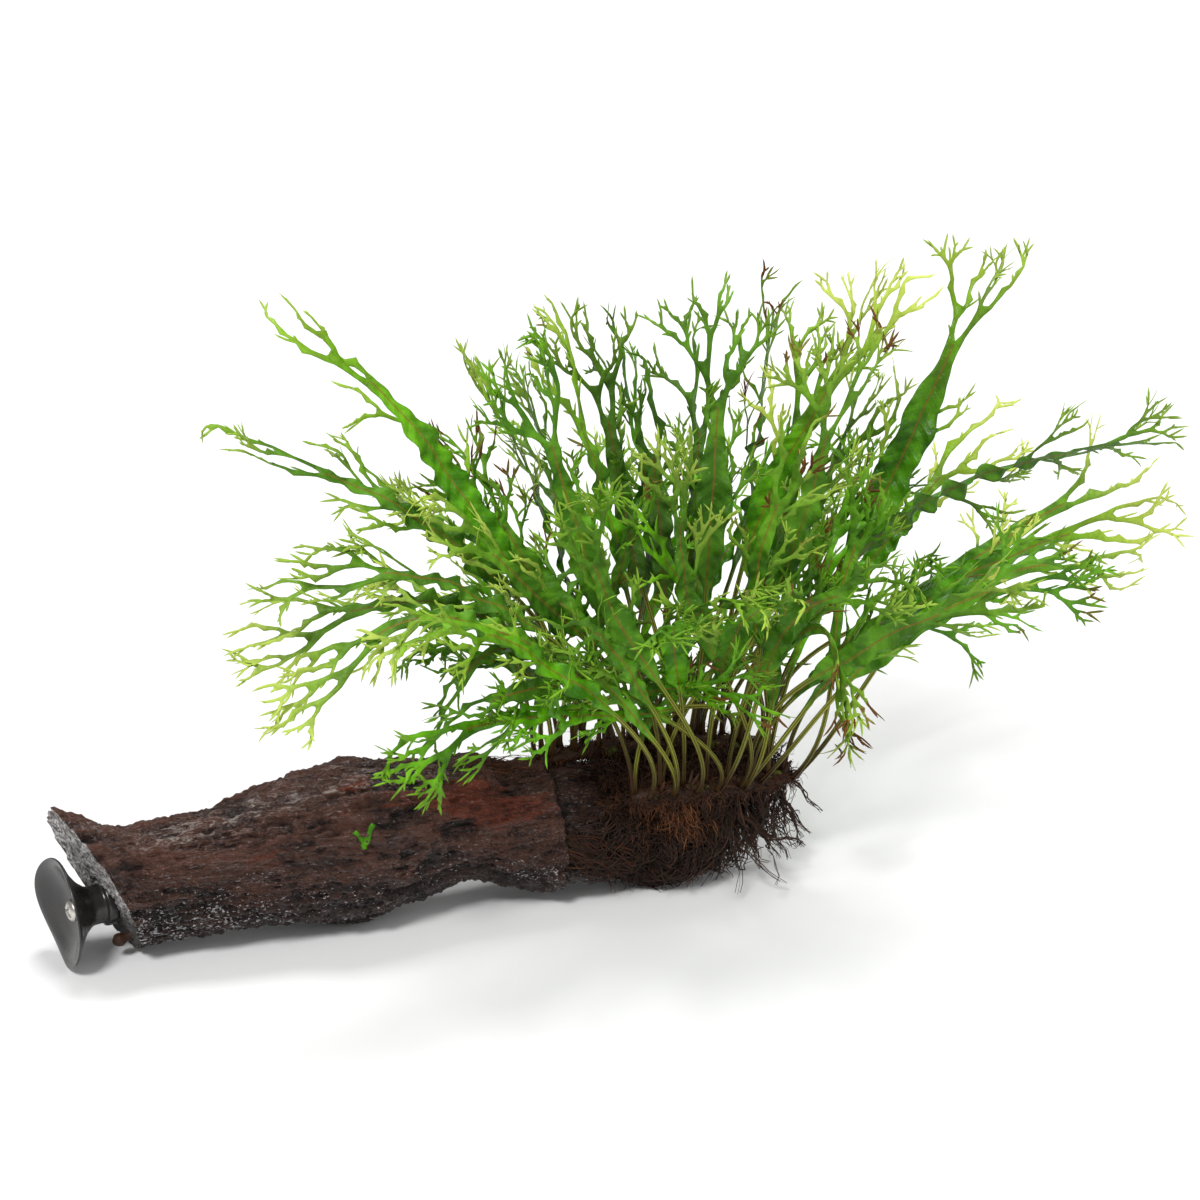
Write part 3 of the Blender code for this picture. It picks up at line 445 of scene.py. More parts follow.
class Finish:
    """A material with one Principled shader, and the nodes that feed it."""

    def __init__(self, name, **fixed):
        self.material = bpy.data.materials.new(name)
        self.material.use_nodes = True
        self.tree = self.material.node_tree
        self.shader = self.tree.nodes["Principled BSDF"]
        for socket, value in fixed.items():
            self.shader.inputs[socket.replace("_", " ")].default_value = value

    def node(self, kind, settings=None, inputs=None, output=0):
        node = self.tree.nodes.new("ShaderNode" + kind)
        for name, value in (settings or {}).items():
            if name == "stops":
                self.set_stops(node.color_ramp, value)
            else:
                setattr(node, name, value)
        for key, value in (inputs or {}).items():
            self.feed(node.inputs[key], value)
        return Wire(self, node.outputs[output])

    @staticmethod
    def set_stops(ramp, stops):
        while len(ramp.elements) < len(stops):
            ramp.elements.new(1.0)
        for element, (position, colour) in zip(ramp.elements, stops):
            element.position = position
            element.color = (*colour, 1.0)

    def feed(self, socket, value):
        if isinstance(value, Wire):
            self.tree.links.new(value.socket, socket)
        elif isinstance(value, tuple) and socket.type == "RGBA":
            socket.default_value = (*value, 1.0)
        else:
            socket.default_value = value

    def math(self, operation, a, b):
        return self.node("Math", {"operation": operation}, {0: a, 1: b})

    def mix(self, factor, a, b):
        """Colour a where the factor is 0 and colour b where it is 1."""
        return self.node("Mix", {"data_type": "RGBA"}, {0: factor, 6: a, 7: b}, 2)

    def step(self, value, low_end, high_end):
        """An S curve from 0 at the low end to 1 at the high end."""
        settings = {"interpolation_type": "SMOOTHSTEP"}
        return self.node("MapRange", settings, {0: value, 1: low_end, 2: high_end})

    def place(self, scale=(1.0, 1.0, 1.0)):
        """The point of the surface in metres, stretched by a scale along each axis."""
        where = self.node("TexCoord", output="Object")
        return self.node("VectorMath", {"operation": "MULTIPLY"}, {0: where, 1: scale})

    def noise(self, scale, detail=3.0, stretch=(1.0, 1.0, 1.0), roughness=0.55):
        inputs = {"Vector": self.place(stretch), "Scale": scale, "Detail": detail, "Roughness": roughness}
        return self.node("TexNoise", None, inputs)

    def attribute(self, name):
        """The three numbers that each point of the mesh keeps under this name."""
        vector = self.node("Attribute", {"attribute_name": name}, output="Vector")
        return self.node("SeparateXYZ", None, {0: vector})

    def colour(self, value):
        self.feed(self.shader.inputs["Base Color"], value)

    def roughness(self, value):
        self.feed(self.shader.inputs["Roughness"], value)

    def bump(self, height, distance, strength=1.0):
        inputs = {"Height": height, "Distance": distance, "Strength": strength}
        self.feed(self.shader.inputs["Normal"], self.node("Bump", None, inputs))


def leaf_finish():
    """Fresh to old green, greyer below, with a brown midrib, a striped stalk, and pale or brown tips."""
    f = Finish("fern_leaf", Specular_IOR_Level=0.17)
    place = f.attribute("leaf_place")
    state = f.attribute("leaf_state")
    kind = f.attribute("leaf_side")
    along, across, rib = place["X"], abs(place["Y"]), place["Z"]
    rise, age, dead = state["X"], state["Y"], state["Z"]
    below, yellow = kind["X"], kind["Y"]
    blotch = f.noise(90.0, 3.0)
    fine = f.noise(700.0, 2.0)
    cloud = f.step(blotch, 0.36, 0.66)
    fresh = f.mix(cloud, (0.034, 0.150, 0.0010), (0.118, 0.385, 0.004))
    fresh = f.mix(yellow * f.step(rise, 1.4, 2.8) * 0.9, fresh, (0.350, 0.490, 0.034))
    old = f.mix(cloud, (0.009, 0.043, 0.001), (0.032, 0.125, 0.003))
    green = f.mix(age * (1 - f.step(rise, 1.5, 2.5) * 0.55), fresh, old)
    under = f.mix(cloud, (0.040, 0.130, 0.004), (0.105, 0.262, 0.015))
    green = f.mix(below * 0.7, green, f.mix(age * 0.8, under, (0.032, 0.070, 0.010)))
    veins = f.step(f.math("PINGPONG", along + rib * 0.8, 2.6), 2.25, 2.6) * f.step(across, 1.0, 0.75)
    green = f.mix(veins * 0.08, green, (0.16, 0.38, 0.04))
    pale = f.step(rise + fine * 0.5 + yellow * 0.35, 2.6, 3.6)
    tips = f.mix(yellow, (0.300, 0.540, 0.030), (0.600, 0.690, 0.140))
    green = f.mix(pale * (0.26 + yellow * 0.64 - age * 0.26), green, tips)
    blade = f.step(rise, 0.9, 1.05) * f.step(rise, 2.5, 1.9)
    midrib = f.step(rib, 0.55, 0.25) * blade
    green = f.mix(midrib * 0.65, green, f.mix(age, (0.21, 0.115, 0.018), (0.12, 0.050, 0.016)))
    dots = f.step(f.noise(900.0, 0.0), 0.75, 0.79) * blade
    green = f.mix(dots * 0.14, green, (0.42, 0.50, 0.16))
    ridges = f.step(abs(across - 0.55), 0.42, 0.08)
    stalk = f.mix(ridges, (0.120, 0.115, 0.010), (0.300, 0.320, 0.048))
    stalk = f.mix(f.step(rise + blotch * 0.35, 0.85, 0.20), stalk, (0.048, 0.022, 0.006))
    skin = f.mix(f.step(rise, 0.86, 1.04), stalk, green)
    withered = f.step(dead + fine * 0.4, 0.55, 0.95)
    skin = f.mix(withered, skin, f.mix(blotch, (0.045, 0.018, 0.006), (0.22, 0.085, 0.018)))
    f.colour(skin)
    f.roughness(0.24 + blotch * 0.20 + withered * 0.3 + below * 0.12)
    quilt = f.math("PINGPONG", along + rib * 0.8, 2.6) * 0.2
    f.bump(quilt * blade + fine * 0.35 + ridges * (1 - f.step(rise, 0.86, 1.04)), 0.0008, 0.8)
    return f.material


def wood_finish():
    """Wet, nearly black wood: red-brown where it flaked, pale grey on its back that is dried-out fibres with
    a painted sheen, painted shade in the crevices, and painted highlights below.
    """
    f = Finish("wet_wood", Specular_IOR_Level=0.5)
    look = f.attribute("wood_look")
    relief, pale_and_sheen, red = look["X"], look["Y"], look["Z"]
    streaks = f.noise(260.0, 6.0, (0.12, 1.0, 1.0), 0.70)
    patches = f.noise(42.0, 5.0, (0.45, 1.0, 1.0), 0.6)
    grain = f.noise(640.0, 4.0, (0.35, 1.0, 1.0), 0.7)
    scales = f.noise(1250.0, 2.0, (0.42, 1.0, 1.0), 0.6)
    spot = f.node("SeparateXYZ", None, {0: f.place()})
    # Brown towards the top and nearly black towards the bottom, with a ragged edge between about 26 and 52 mm
    # height.
    above = f.step(spot["Z"] + patches * 0.022 + (streaks - 0.5) * 0.02, 0.026, 0.052)
    # Painted shade in the crevices: the colour darkens where the relief is low and along the fine streaks,
    # mixed with the grain's own tone.
    grain_and_crevice_shade = f.step(relief * 0.5 + (grain - 0.5) * 4.0 + (streaks - 0.5) * 5.0, -1.3, 1.7)
    dark = f.mix(grain_and_crevice_shade, (0.0008, 0.0004, 0.0003), (0.036, 0.0135, 0.0085))
    brown = f.mix(grain_and_crevice_shade, (0.0014, 0.0006, 0.0004), (0.118, 0.045, 0.027))
    colour = f.mix(above * 0.8, dark, brown)
    flaked = f.step(red + (patches - 0.5) * 1.5 + (streaks - 0.5) * 1.3, 0.42, 0.66)
    colour = f.mix(flaked * 0.85, colour, f.mix(grain_and_crevice_shade, (0.012, 0.0024, 0.0010), (0.200, 0.037, 0.012)))
    fibre = f.step(streaks, 0.51, 0.58) * f.step(grain, 0.43, 0.58)
    # Pale grey streaks on the back: dried-out fibres, and a painted sheen along the top.
    colour = f.mix(f.step(pale_and_sheen + (patches - 0.5) * 0.9, 0.30, 0.80) * fibre * 0.85, colour, (0.36, 0.30, 0.27))
    # Painted highlights: pale specks mixed into the base colour stand for the wet wood's sparkle, with more
    # of them in the lower left band.
    left = f.step(spot["X"], -0.10, -0.15) * (1 - above)
    painted_glints = f.step(scales + patches * 0.55 + left * 0.085, 0.945, 0.970) * (1 - above * 0.75)
    f.colour(f.mix(painted_glints * 0.75, colour, (0.72, 0.70, 0.72)))
    f.roughness(0.12 + above * 0.16 + f.step(streaks, 0.4, 0.7) * 0.12)
    f.bump(streaks * 1.3 + grain * 0.8 + scales * (1.0 - above * 0.6), 0.0036, 1.0)
    return f.material


def cut_finish():
    """Pale grey sawn end with dark specks."""
    f = Finish("cut_wood", Roughness=0.8)
    fibres = f.noise(700.0, 4.0, (1.0, 1.0, 1.0), 0.7)
    specks = f.noise(260.0, 4.0)
    colour = f.mix(f.step(fibres, 0.40, 0.62), (0.100, 0.088, 0.083), (0.62, 0.60, 0.59))
    colour = f.mix(f.step(specks + (fibres - 0.5) * 0.6, 0.56, 0.64) * 0.9, colour, (0.030, 0.020, 0.016))
    # Darker towards the bottom of the sawn end, below about 22 to 34 mm height.
    height = f.node("SeparateXYZ", None, {0: f.place()})["Z"]
    f.colour(f.mix(f.step(height + specks * 0.012, 0.034, 0.022) * 0.88, colour, (0.022, 0.018, 0.017)))
    f.bump(fibres, 0.0010, 0.9)
    return f.material


def rubber_finish():
    f = Finish("black_rubber")
    film = f.noise(60.0, 3.0)
    fine = f.noise(2200.0, 2.0)
    f.colour(f.mix(film, (0.011, 0.010, 0.0098), (0.028, 0.025, 0.024)))
    f.roughness(0.20 + film * 0.14)
    f.bump(fine * 0.4 + film, 0.0003, 0.25)
    return f.material


def steel_finish():
    f = Finish("screw_steel", Metallic=1.0)
    brushed = f.noise(1500.0, 3.0, (0.1, 1.0, 1.0))
    tarnish = f.noise(420.0, 3.0)
    f.colour(f.mix(tarnish, (0.72, 0.70, 0.66), (0.42, 0.39, 0.34)))
    f.roughness(0.22 + brushed * 0.25)
    f.bump(brushed, 0.0001, 0.3)
    return f.material


def root_finish():
    """Dark brown to rusty orange fibres, each with a shade of its own; on top of the mat the shades are
    raised, partly as a painted highlight.
    """
    f = Finish("root_fibre", Specular_IOR_Level=0.3)
    shade = f.attribute("root_shade")["X"]
    fine = f.noise(800.0, 3.0)
    stops = [
        (0.0, (0.0060, 0.0026, 0.0011)),
        (0.42, (0.032, 0.0115, 0.0040)),
        (0.8, (0.115, 0.034, 0.009)),
        (1.0, (0.27, 0.105, 0.035)),
    ]
    ramp = f.node("ValToRGB", {"stops": stops}, {0: shade + (fine - 0.5) * 0.35})
    f.colour(ramp)
    f.roughness(0.45 + fine * 0.3)
    f.bump(fine, 0.0003, 0.6)
    return f.material


def stem_finish():
    """Creeping stems: dull green above, brown and scaly where the roots leave."""
    f = Finish("creeping_stem", Specular_IOR_Level=0.2)
    blotch = f.noise(120.0, 4.0)
    scales = f.noise(600.0, 3.0, (0.4, 1.0, 1.0))
    green = f.mix(scales, (0.045, 0.070, 0.008), (0.15, 0.21, 0.030))
    brown = f.mix(scales, (0.010, 0.0045, 0.0022), (0.055, 0.022, 0.009))
    f.colour(f.mix(f.step(blotch, 0.34, 0.44), green, brown))
    f.roughness(0.42 + scales * 0.25)
    f.bump(scales + blotch * 0.5, 0.0006, 0.7)
    return f.material


def backdrop_finish():
    f = Finish("pale_floor", Roughness=0.6)
    f.colour(f.mix(f.noise(3.0), (0.80, 0.80, 0.80), (0.82, 0.82, 0.82)))
    return f.material


def to_object(name, points, faces, materials, attributes=None, face_materials=None):
    """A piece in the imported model's frame, from points in the wood's own frame."""
    mesh = bpy.data.meshes.new(name)
    mesh.from_pydata([point + SHIFT for point in points], [], faces)
    for material in materials:
        mesh.materials.append(material)
    if face_materials:
        mesh.polygons.foreach_set("material_index", face_materials)
    for key, values in (attributes or {}).items():
        layer = mesh.attributes.new(key, "FLOAT_VECTOR", "POINT")
        layer.data.foreach_set("vector", [number for value in values for number in value])
    mesh.shade_smooth()
    piece = bpy.data.objects.new(name, mesh)
    bpy.context.scene.collection.objects.link(piece)
    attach(piece, "root")
    return piece


# The fronds stand where the part's source puts them, so this is worked out as it is there


def bezier(points, t):
    a, b, c, d = points
    s = 1 - t
    return a * s**3 + b * (3 * s * s * t) + c * (3 * s * t * t) + d * t**3


class Route:
    """A frond's way from its foot through one point to its tip, read by distance."""

    def __init__(self, foot, rise, via, tip):
        across = (tip - foot).normalized()
        first = (via - foot).length
        last = (tip - via).length
        end = ((tip - via).normalized() - 0.25 * UP).normalized()
        lower = (foot, foot + rise * first * 0.42, via - across * first * 0.33, via)
        upper = (via, via + across * last * 0.36, tip - end * last * 0.30, tip)
        self.points = [bezier(lower, i / 20) for i in range(20)]
        self.points += [bezier(upper, i / 20) for i in range(21)]
        self.marks = [0.0]
        for a, b in zip(self.points, self.points[1:]):
            self.marks.append(self.marks[-1] + (b - a).length)
        self.length = self.marks[-1]

    def mark_before(self, distance):
        """The last mark before a distance, and how far on it is to the next one."""
        i = 0
        while i < len(self.marks) - 2 and self.marks[i + 1] < distance:
            i += 1
        return i, (distance - self.marks[i]) / (self.marks[i + 1] - self.marks[i])

    def at(self, distance):
        i, share = self.mark_before(distance)
        step = self.points[i + 1] - self.points[i]
        before = self.points[i] - self.points[max(i - 1, 0)]
        heading = before.lerp(step, 0.5 + 0.5 * min(max(share, 0.0), 1.0))
        return self.points[i] + step * share, heading.normalized()


class Sheet:
    """Points and faces of a thin surface."""

    def __init__(self):
        self.points = []
        self.faces = []

    def add(self, point):
        self.points.append(point)
        return len(self.points) - 1

    def row(self, centre, side, half):
        return self.add(centre + side * half), self.add(centre - side * half)

    def strip(self, near, far):
        self.faces.append((near[0], near[1], far[1], far[0]))

    def web(self, row, fork):
        """The small web between two ribbons, in front of the row that they leave."""
        middle = self.add(fork)
        self.faces.append((row[0], row[1], middle))
        return middle


class Frond:
    """One frond's way, its blade's width and turn, and where its stipe and blade end."""

    def __init__(self, foot, rise, via, tip, width, turn, twist, seed):
        self.route = Route(foot, rise, via, tip)
        self.tip = tip
        self.width = width
        self.turn = math.radians(turn)
        self.twist = math.radians(twist)
        self.seed = seed
        length = self.route.length
        self.reach = min(max(length * CREST_SHARE, CREST_LEAST), CREST_MOST)
        self.stipe = length * STIPE_SHARE
        self.blade_end = length - self.reach
        self.sides = self.carried_sides(self.face_direction(via))

    def face_direction(self, via):
        """Fronds in front and at the sides show their face to the viewer, those behind face away."""
        away = via - CROWN
        outward = Vector((away.x, away.y, 0.6 * away.length)).normalized()
        back = min(max(away.y / (30 * MM), 0.0), 1.0)
        return VIEWER.lerp(outward, back).normalized()

    def carried_sides(self, facing):
        """Which way the blade spreads at each mark, carried along from the middle so it never flips."""
        headings = [self.route.at(mark)[1] for mark in self.route.marks]
        middle = len(headings) // 2
        side = headings[middle].cross(facing)
        if side.length < LEAST_SLANT:
            side = headings[middle].cross(UP)
        sides = {middle: side.normalized()}
        for step in (1, -1):
            i = middle
            while 0 <= i + step < len(headings):
                turn = headings[i].rotation_difference(headings[i + step])
                sides[i + step] = (turn @ sides[i]).normalized()
                i += step
        return [sides[i] for i in range(len(headings))]

    def frame(self, distance):
        centre, heading = self.route.at(distance)
        share = distance / self.route.length
        i, onward = self.route.mark_before(distance)
        side = self.sides[i].lerp(self.sides[i + 1], onward)
        side = (side - heading * side.dot(heading)).normalized()
        turn = self.turn + self.twist * (share - 0.45)
        side = Matrix.Rotation(turn, 3, heading) @ side
        return centre, heading, side, side.cross(heading).normalized()

    def half_width(self, distance):
        """Half the width of stipe and blade at a distance from the foot."""
        if distance <= self.stipe:
            return STIPE_HALF
        share = (distance - self.stipe) / (self.blade_end - self.stipe)
        swell = math.sin(math.pi * share**0.8) ** 0.75 if 0 < share < 1 else 0.0
        base = STIPE_HALF + (CREST_NECK - STIPE_HALF) * share
        wave = 1 + 0.10 * math.sin(9 * share + self.seed)
        return max(base, self.width / 2 * swell * wave)


class Twig:
    """One ribbon of a crest, and the two that it forks into."""

    def __init__(self, frond, path, start, half, heading, face, main):
        level = len(path) - 1
        chance = random.Random(f"{frond.seed} {path}")
        factor = 1.0 if main else chance.uniform(0.45, 0.92)
        length = frond.reach * TWIG_SHARES[level] * factor
        bend = math.radians(chance.uniform(-16, 16)) / TWIG_STEPS
        curl = math.radians(chance.uniform(-20, 20)) / TWIG_STEPS
        twist = math.radians(chance.uniform(-26, 26)) / TWIG_STEPS
        pull = 0.16 if main else 0.03
        end_half = TWIG_HALVES[level] * chance.uniform(0.85, 1.15)
        self.level = level
        self.main = main
        self.stations = [(start, heading.cross(face).normalized(), half)]
        self.faces = [face]
        centre = start
        for i in range(1, TWIG_STEPS + 1):
            heading = heading.lerp((frond.tip - centre).normalized(), pull).normalized()
            side = heading.cross(face).normalized()
            heading = Matrix.Rotation(bend, 3, face) @ heading
            heading = Matrix.Rotation(curl, 3, side) @ heading
            face = side.cross(heading).normalized()
            face = Matrix.Rotation(twist, 3, heading) @ face
            side = heading.cross(face).normalized()
            centre = centre + heading * (length / TWIG_STEPS)
            share = i / TWIG_STEPS
            width = half + (end_half - half) * share
            width *= 1 - 0.22 * math.sin(math.pi * share)
            if i == TWIG_STEPS and level < len(TWIG_SHARES) - 1:
                width *= FORK_FLARE
            self.stations.append((centre, side, width))
            self.faces.append(face)
        self.heading = heading
        self.face = face
        self.fork = centre + heading * self.stations[-1][2] * 0.55
        self.spread = math.radians(chance.uniform(19, 33))
        self.main_left = chance.random() < 0.5

    def children(self, frond, path, main_only, narrow=1.0):
        """The two ribbons after a fork: the left one starts on the left half of the end."""
        centre, side, half = self.stations[-1]
        made = []
        for sign in (1, -1):
            is_main = (sign > 0) == self.main_left
            if main_only and not is_main:
                continue
            edge = centre + side * half * sign
            start = (edge + self.fork) / 2
            angle = -self.spread * narrow * (0.65 if is_main else 1.15) * sign
            heading = Matrix.Rotation(angle, 3, self.face) @ self.heading
            name = path + ("m" if is_main else "s")
            twig = Twig(
                frond,
                name,
                start,
                (edge - self.fork).length / 2,
                heading.normalized(),
                self.face,
                self.main and is_main,
            )
            made.append((sign, name, twig))
        return made


def first_twigs(frond, centre, heading, side, face, half):
    """The blade's end forks into the crest's first two ribbons."""
    fork = centre + heading * half * 0.55
    twigs = []
    for sign, path in ((1, "l"), (-1, "r")):
        edge = centre + side * half * sign
        chance = random.Random(f"{frond.seed} {path} heading")
        angle = -math.radians(chance.uniform(10, 24)) * sign
        turned = Matrix.Rotation(angle, 3, face) @ heading
        main = (sign > 0) == (frond.seed % 2 == 0)
        twigs.append((sign, path, Twig(frond, path, (edge + fork) / 2, half / 2, turned, face, main)))
    return fork, twigs


def coarse_crest(sheet, frond, edge, path, twig):
    """Two levels of forks, and from there one ribbon that goes on to the tip."""
    row = sheet.row(*twig.stations[-1])
    sheet.strip(edge, row)
    if twig.level < 1:
        fork = sheet.web(row, twig.fork)
        for sign, name, child in twig.children(frond, path, False):
            half_edge = (row[0], fork) if sign > 0 else (fork, row[1])
            coarse_crest(sheet, frond, half_edge, name, child)
        return
    while twig.level < len(TWIG_SHARES) - 1:
        _, path, twig = twig.children(frond, path, True)[0]
    sheet.strip(row, sheet.row(*twig.stations[-1]))


def coarse_frond(frond, wider=0.0):
    """The frond's middle surface: stipe, blade, then its crest."""
    sheet = Sheet()
    blade = frond.blade_end - frond.stipe
    stops = [frond.stipe * i / STIPE_QUADS for i in range(STIPE_QUADS)]
    stops += [frond.stipe + blade * i / BLADE_QUADS for i in range(BLADE_QUADS + 1)]
    row = None
    for distance in stops:
        centre, heading, side, face = frond.frame(distance)
        half = frond.half_width(distance)
        new_row = sheet.row(centre, side, half + wider)
        if row:
            sheet.strip(row, new_row)
        row = new_row
    fork, twigs = first_twigs(frond, centre, heading, side, face, half)
    middle = sheet.web(row, fork)
    for sign, path, twig in twigs:
        half_edge = (row[0], middle) if sign > 0 else (middle, row[1])
        coarse_crest(sheet, frond, half_edge, path, twig)
    return sheet


def skin(sheet, half_thickness):
    """Both faces and the rim of a sheet, with the sheet's face that each one comes from."""
    normals = [Vector() for _ in sheet.points]
    edges = {}
    for face in sheet.faces:
        corners = [sheet.points[i] for i in face]
        normal = (corners[2] - corners[0]).cross(corners[-1] - corners[1]).normalized()
        for i in face:
            normals[i] += normal
        edges.update(((i, j), True) for i, j in zip(face, face[1:] + face[:1]))
    count = len(sheet.points)
    points = [p + n.normalized() * half_thickness for p, n in zip(sheet.points, normals)]
    points += [p - n.normalized() * half_thickness for p, n in zip(sheet.points, normals)]
    faces, source = [], []
    for number, face in enumerate(sheet.faces):
        faces += [face, tuple(i + count for i in reversed(face))]
        source += [number, number]
        for i, j in zip(face, face[1:] + face[:1]):
            if (j, i) not in edges:
                faces.append((j, i, i + count, j + count))
                source.append(number)
    return BVHTree.FromPolygons(points, faces), source


def crosses_itself(sheet, tree, source):
    """Whether two of the sheet's faces meet that share no corner."""
    for a, b in tree.overlap(tree):
        if not set(sheet.faces[source[a]]) & set(sheet.faces[source[b]]):
            return True
    return False


def near_capsule(point, capsules):
    """Whether the point lies in one of the round lengths."""
    for start, end, radius in capsules:
        along = end - start
        share = min(max((point - start).dot(along) / along.length_squared, 0.0), 1.0)
        if (point - start - along * share).length < radius:
            return True
    return False


def stem_capsules():
    """The rhizomes, and the wood in its roots, as round lengths that no frond passes through."""
    capsules = []
    for points in RHIZOMES.values():
        for a, b in zip(points, points[1:]):
            capsules.append((mm(a[:3]), mm(b[:3]), (max(a[3], b[3]) + 1.6) * MM))
    for rows in (MAT_SECTIONS, WOOD_SECTIONS):
        for a, b in zip(rows, rows[1:]):
            radius = (max(a[2], b[2]) + 2.5) * MM
            capsules.append((mm((a[0], 0, a[1])), mm((b[0], 0, b[1])), radius))
    return capsules


def feet():
    """Where the stipes stand: two rows along each rhizome, with the way that each one rises."""
    places = []
    for name, points in RHIZOMES.items():
        lean = {"rhizome_top": 0.0, "rhizome_front": -0.75, "rhizome_back": 0.75}[name]
        outward = Vector((0.0, lean, 1.0)).normalized()
        walked = 0.5 * FOOT_STEP
        number = 0
        for a, b in zip(points, points[1:]):
            start, end = mm(a[:3]), mm(b[:3])
            length = (end - start).length
            along = (end - start) / length
            while walked < length:
                share = walked / length
                turn = FOOT_TURN if number % 2 else -FOOT_TURN
                normal = outward - along * outward.dot(along)
                normal = Matrix.Rotation(turn, 3, along) @ normal.normalized()
                radius = (a[3] + (b[3] - a[3]) * share) * MM
                foot = start + along * walked + normal * (radius + GAP)
                places.append((foot, (normal + 0.6 * UP).normalized()))
                walked += FOOT_STEP
                number += 1
            walked -= length
    return places


def nearest_feet(places, via):
    """The free places, nearest first to where a frond that leans this way would start."""
    wanted_x = CROWN.x + 0.42 * (via.x - CROWN.x)
    wanted_y = 0.45 * via.y
    return sorted(places, key=lambda p: abs(p[0].x - wanted_x) + 0.8 * abs(p[0].y - wanted_y))


def is_clear(frond, trees, capsules):
    """The frond's skin if it meets no other frond, no stem and no part of itself."""
    sheet = coarse_frond(frond, CLEARANCE)
    tree, source = skin(sheet, FROND_THICKNESS / 2 + CLEARANCE)
    if any(tree.overlap(other) for other in trees) or crosses_itself(sheet, tree, source):
        return None
    if any(near_capsule(point, capsules) for point in sheet.points[4:]):
        return None
    return tree


def place_frond(number, row, places, trees, capsules):
    """The frond leans aside a little more until it is clear, then tries the next place to stand."""
    via, tip, width, turn, twist = row
    for foot_number, (foot, rise) in enumerate(nearest_feet(places, mm(via))[:MOST_FEET]):
        for attempt in range(TRIES_A_FOOT):
            sway = SWAY * math.sqrt(attempt)
            angle = 2.4 * attempt
            aside = Vector((math.cos(angle), math.sin(angle), 0.6 * math.sin(1.7 * angle))) * sway
            frond = Frond(
                foot,
                rise,
                mm(via) + 0.7 * aside,
                mm(tip) + aside,
                width * MM * (1 - 0.2 * attempt / TRIES_A_FOOT),
                turn + ((attempt * 37) % 61 - 30 if attempt else 0),
                twist,
                1000 * number + 100 * foot_number + attempt,
            )
            tree = is_clear(frond, trees, capsules)
            if tree:
                trees.append(tree)
                places.remove((foot, rise))
                return frond
    return None


def young_frond(number, chance, places, trees):
    """A small frond among the others: the one of several tries that touches them least."""
    best = None
    lean_x = chance.choice((-1, -1, 0, 1, 1))
    for attempt in range(YOUNG_TRIES):
        foot, rise = chance.choice(places)
        foot = foot + Vector((chance.uniform(-1.8, 1.8), chance.uniform(-0.6, 0.6), -0.6)) * MM
        x = 110 + lean_x * chance.uniform(30, 95) + chance.uniform(-25, 25)
        tip = mm((x, chance.uniform(-62, 40), chance.uniform(84, 165)))
        via = foot.lerp(tip, 0.55) + UP * chance.uniform(6, 20) * MM
        width = chance.uniform(5, 9) * MM
        turn, twist = chance.uniform(-40, 50), chance.uniform(10, 80)
        frond = Frond(foot, rise, via, tip, width, turn, twist, 1000 * number + attempt)
        tree, _ = skin(coarse_frond(frond), LEAF_HALF)
        crossings = sum(len(tree.overlap(other)) for other in trees)
        if best is None or crossings < best[0]:
            best = (crossings, frond, tree)
    crossings, frond, tree = best
    if crossings > YOUNG_CROSSINGS:
        return None
    trees.append(tree)
    return frond


def place_fronds():
    """The fronds that have a solid in the frame, then young ones among them where there is room."""
    places = feet()
    capsules = stem_capsules()
    trees = []
    rows = list(SHOWN_FRONDS + FILL_FRONDS)
    fronds = [place_frond(number, row, places, trees, capsules) for number, row in enumerate(rows)]
    chance = random.Random(11)
    stands = feet()
    young = [young_frond(100 + number, chance, stands, trees) for number in range(YOUNG_FRONDS)]
    return fronds, [frond for frond in young if frond]


class Leaf:
    """A thin solid kept as its middle surface, with half its thickness and its look at each point."""

    def __init__(self, age, dead, yellow=0.0, turned=False, bushy=1.0):
        self.bushy = bushy
        self.age = age
        self.dead = dead
        self.yellow = yellow
        self.turned = turned
        self.points = []
        self.halves = []
        self.places = []
        self.states = []
        self.faces = []

    def add(self, point, half, along, across, rib, rise, dead=0.0):
        self.points.append(point)
        self.halves.append(half)
        self.places.append((along / MM, across, rib / MM))
        self.states.append((rise, self.age, dead))
        return len(self.points) - 1

    def strip(self, near, far):
        for k in range(len(near) - 1):
            self.faces.append((near[k], near[k + 1], far[k + 1], far[k]))

    def solid(self):
        """Points, faces and looks of the closed solid around the middle surface."""
        normals = [Vector() for _ in self.points]
        edges = set()
        for face in self.faces:
            a, b, c = (self.points[i] for i in face[:3])
            d = self.points[face[-1]]
            normal = (c - a).cross(d - b) if len(face) > 3 else (b - a).cross(c - a)
            for i in face:
                normals[i] += normal
            edges.update(zip(face, face[1:] + face[:1]))
        for normal in normals:
            normal.normalize()
        count = len(self.points)
        points = [p + n * h for p, n, h in zip(self.points, normals, self.halves)]
        points += [p - n * h for p, n, h in zip(self.points, normals, self.halves)]
        faces = list(self.faces)
        faces += [tuple(i + count for i in reversed(face)) for face in self.faces]
        faces += [(j, i, i + count, j + count) for i, j in edges if (j, i) not in edges]
        upper, lower = (1.0, 0.0) if self.turned else (0.0, 1.0)
        sides = [(upper, self.yellow, 0.0)] * count + [(lower, self.yellow, 0.0)] * count
        looks = {"leaf_place": self.places * 2, "leaf_state": self.states * 2, "leaf_side": sides}
        return points, sorted(faces), looks


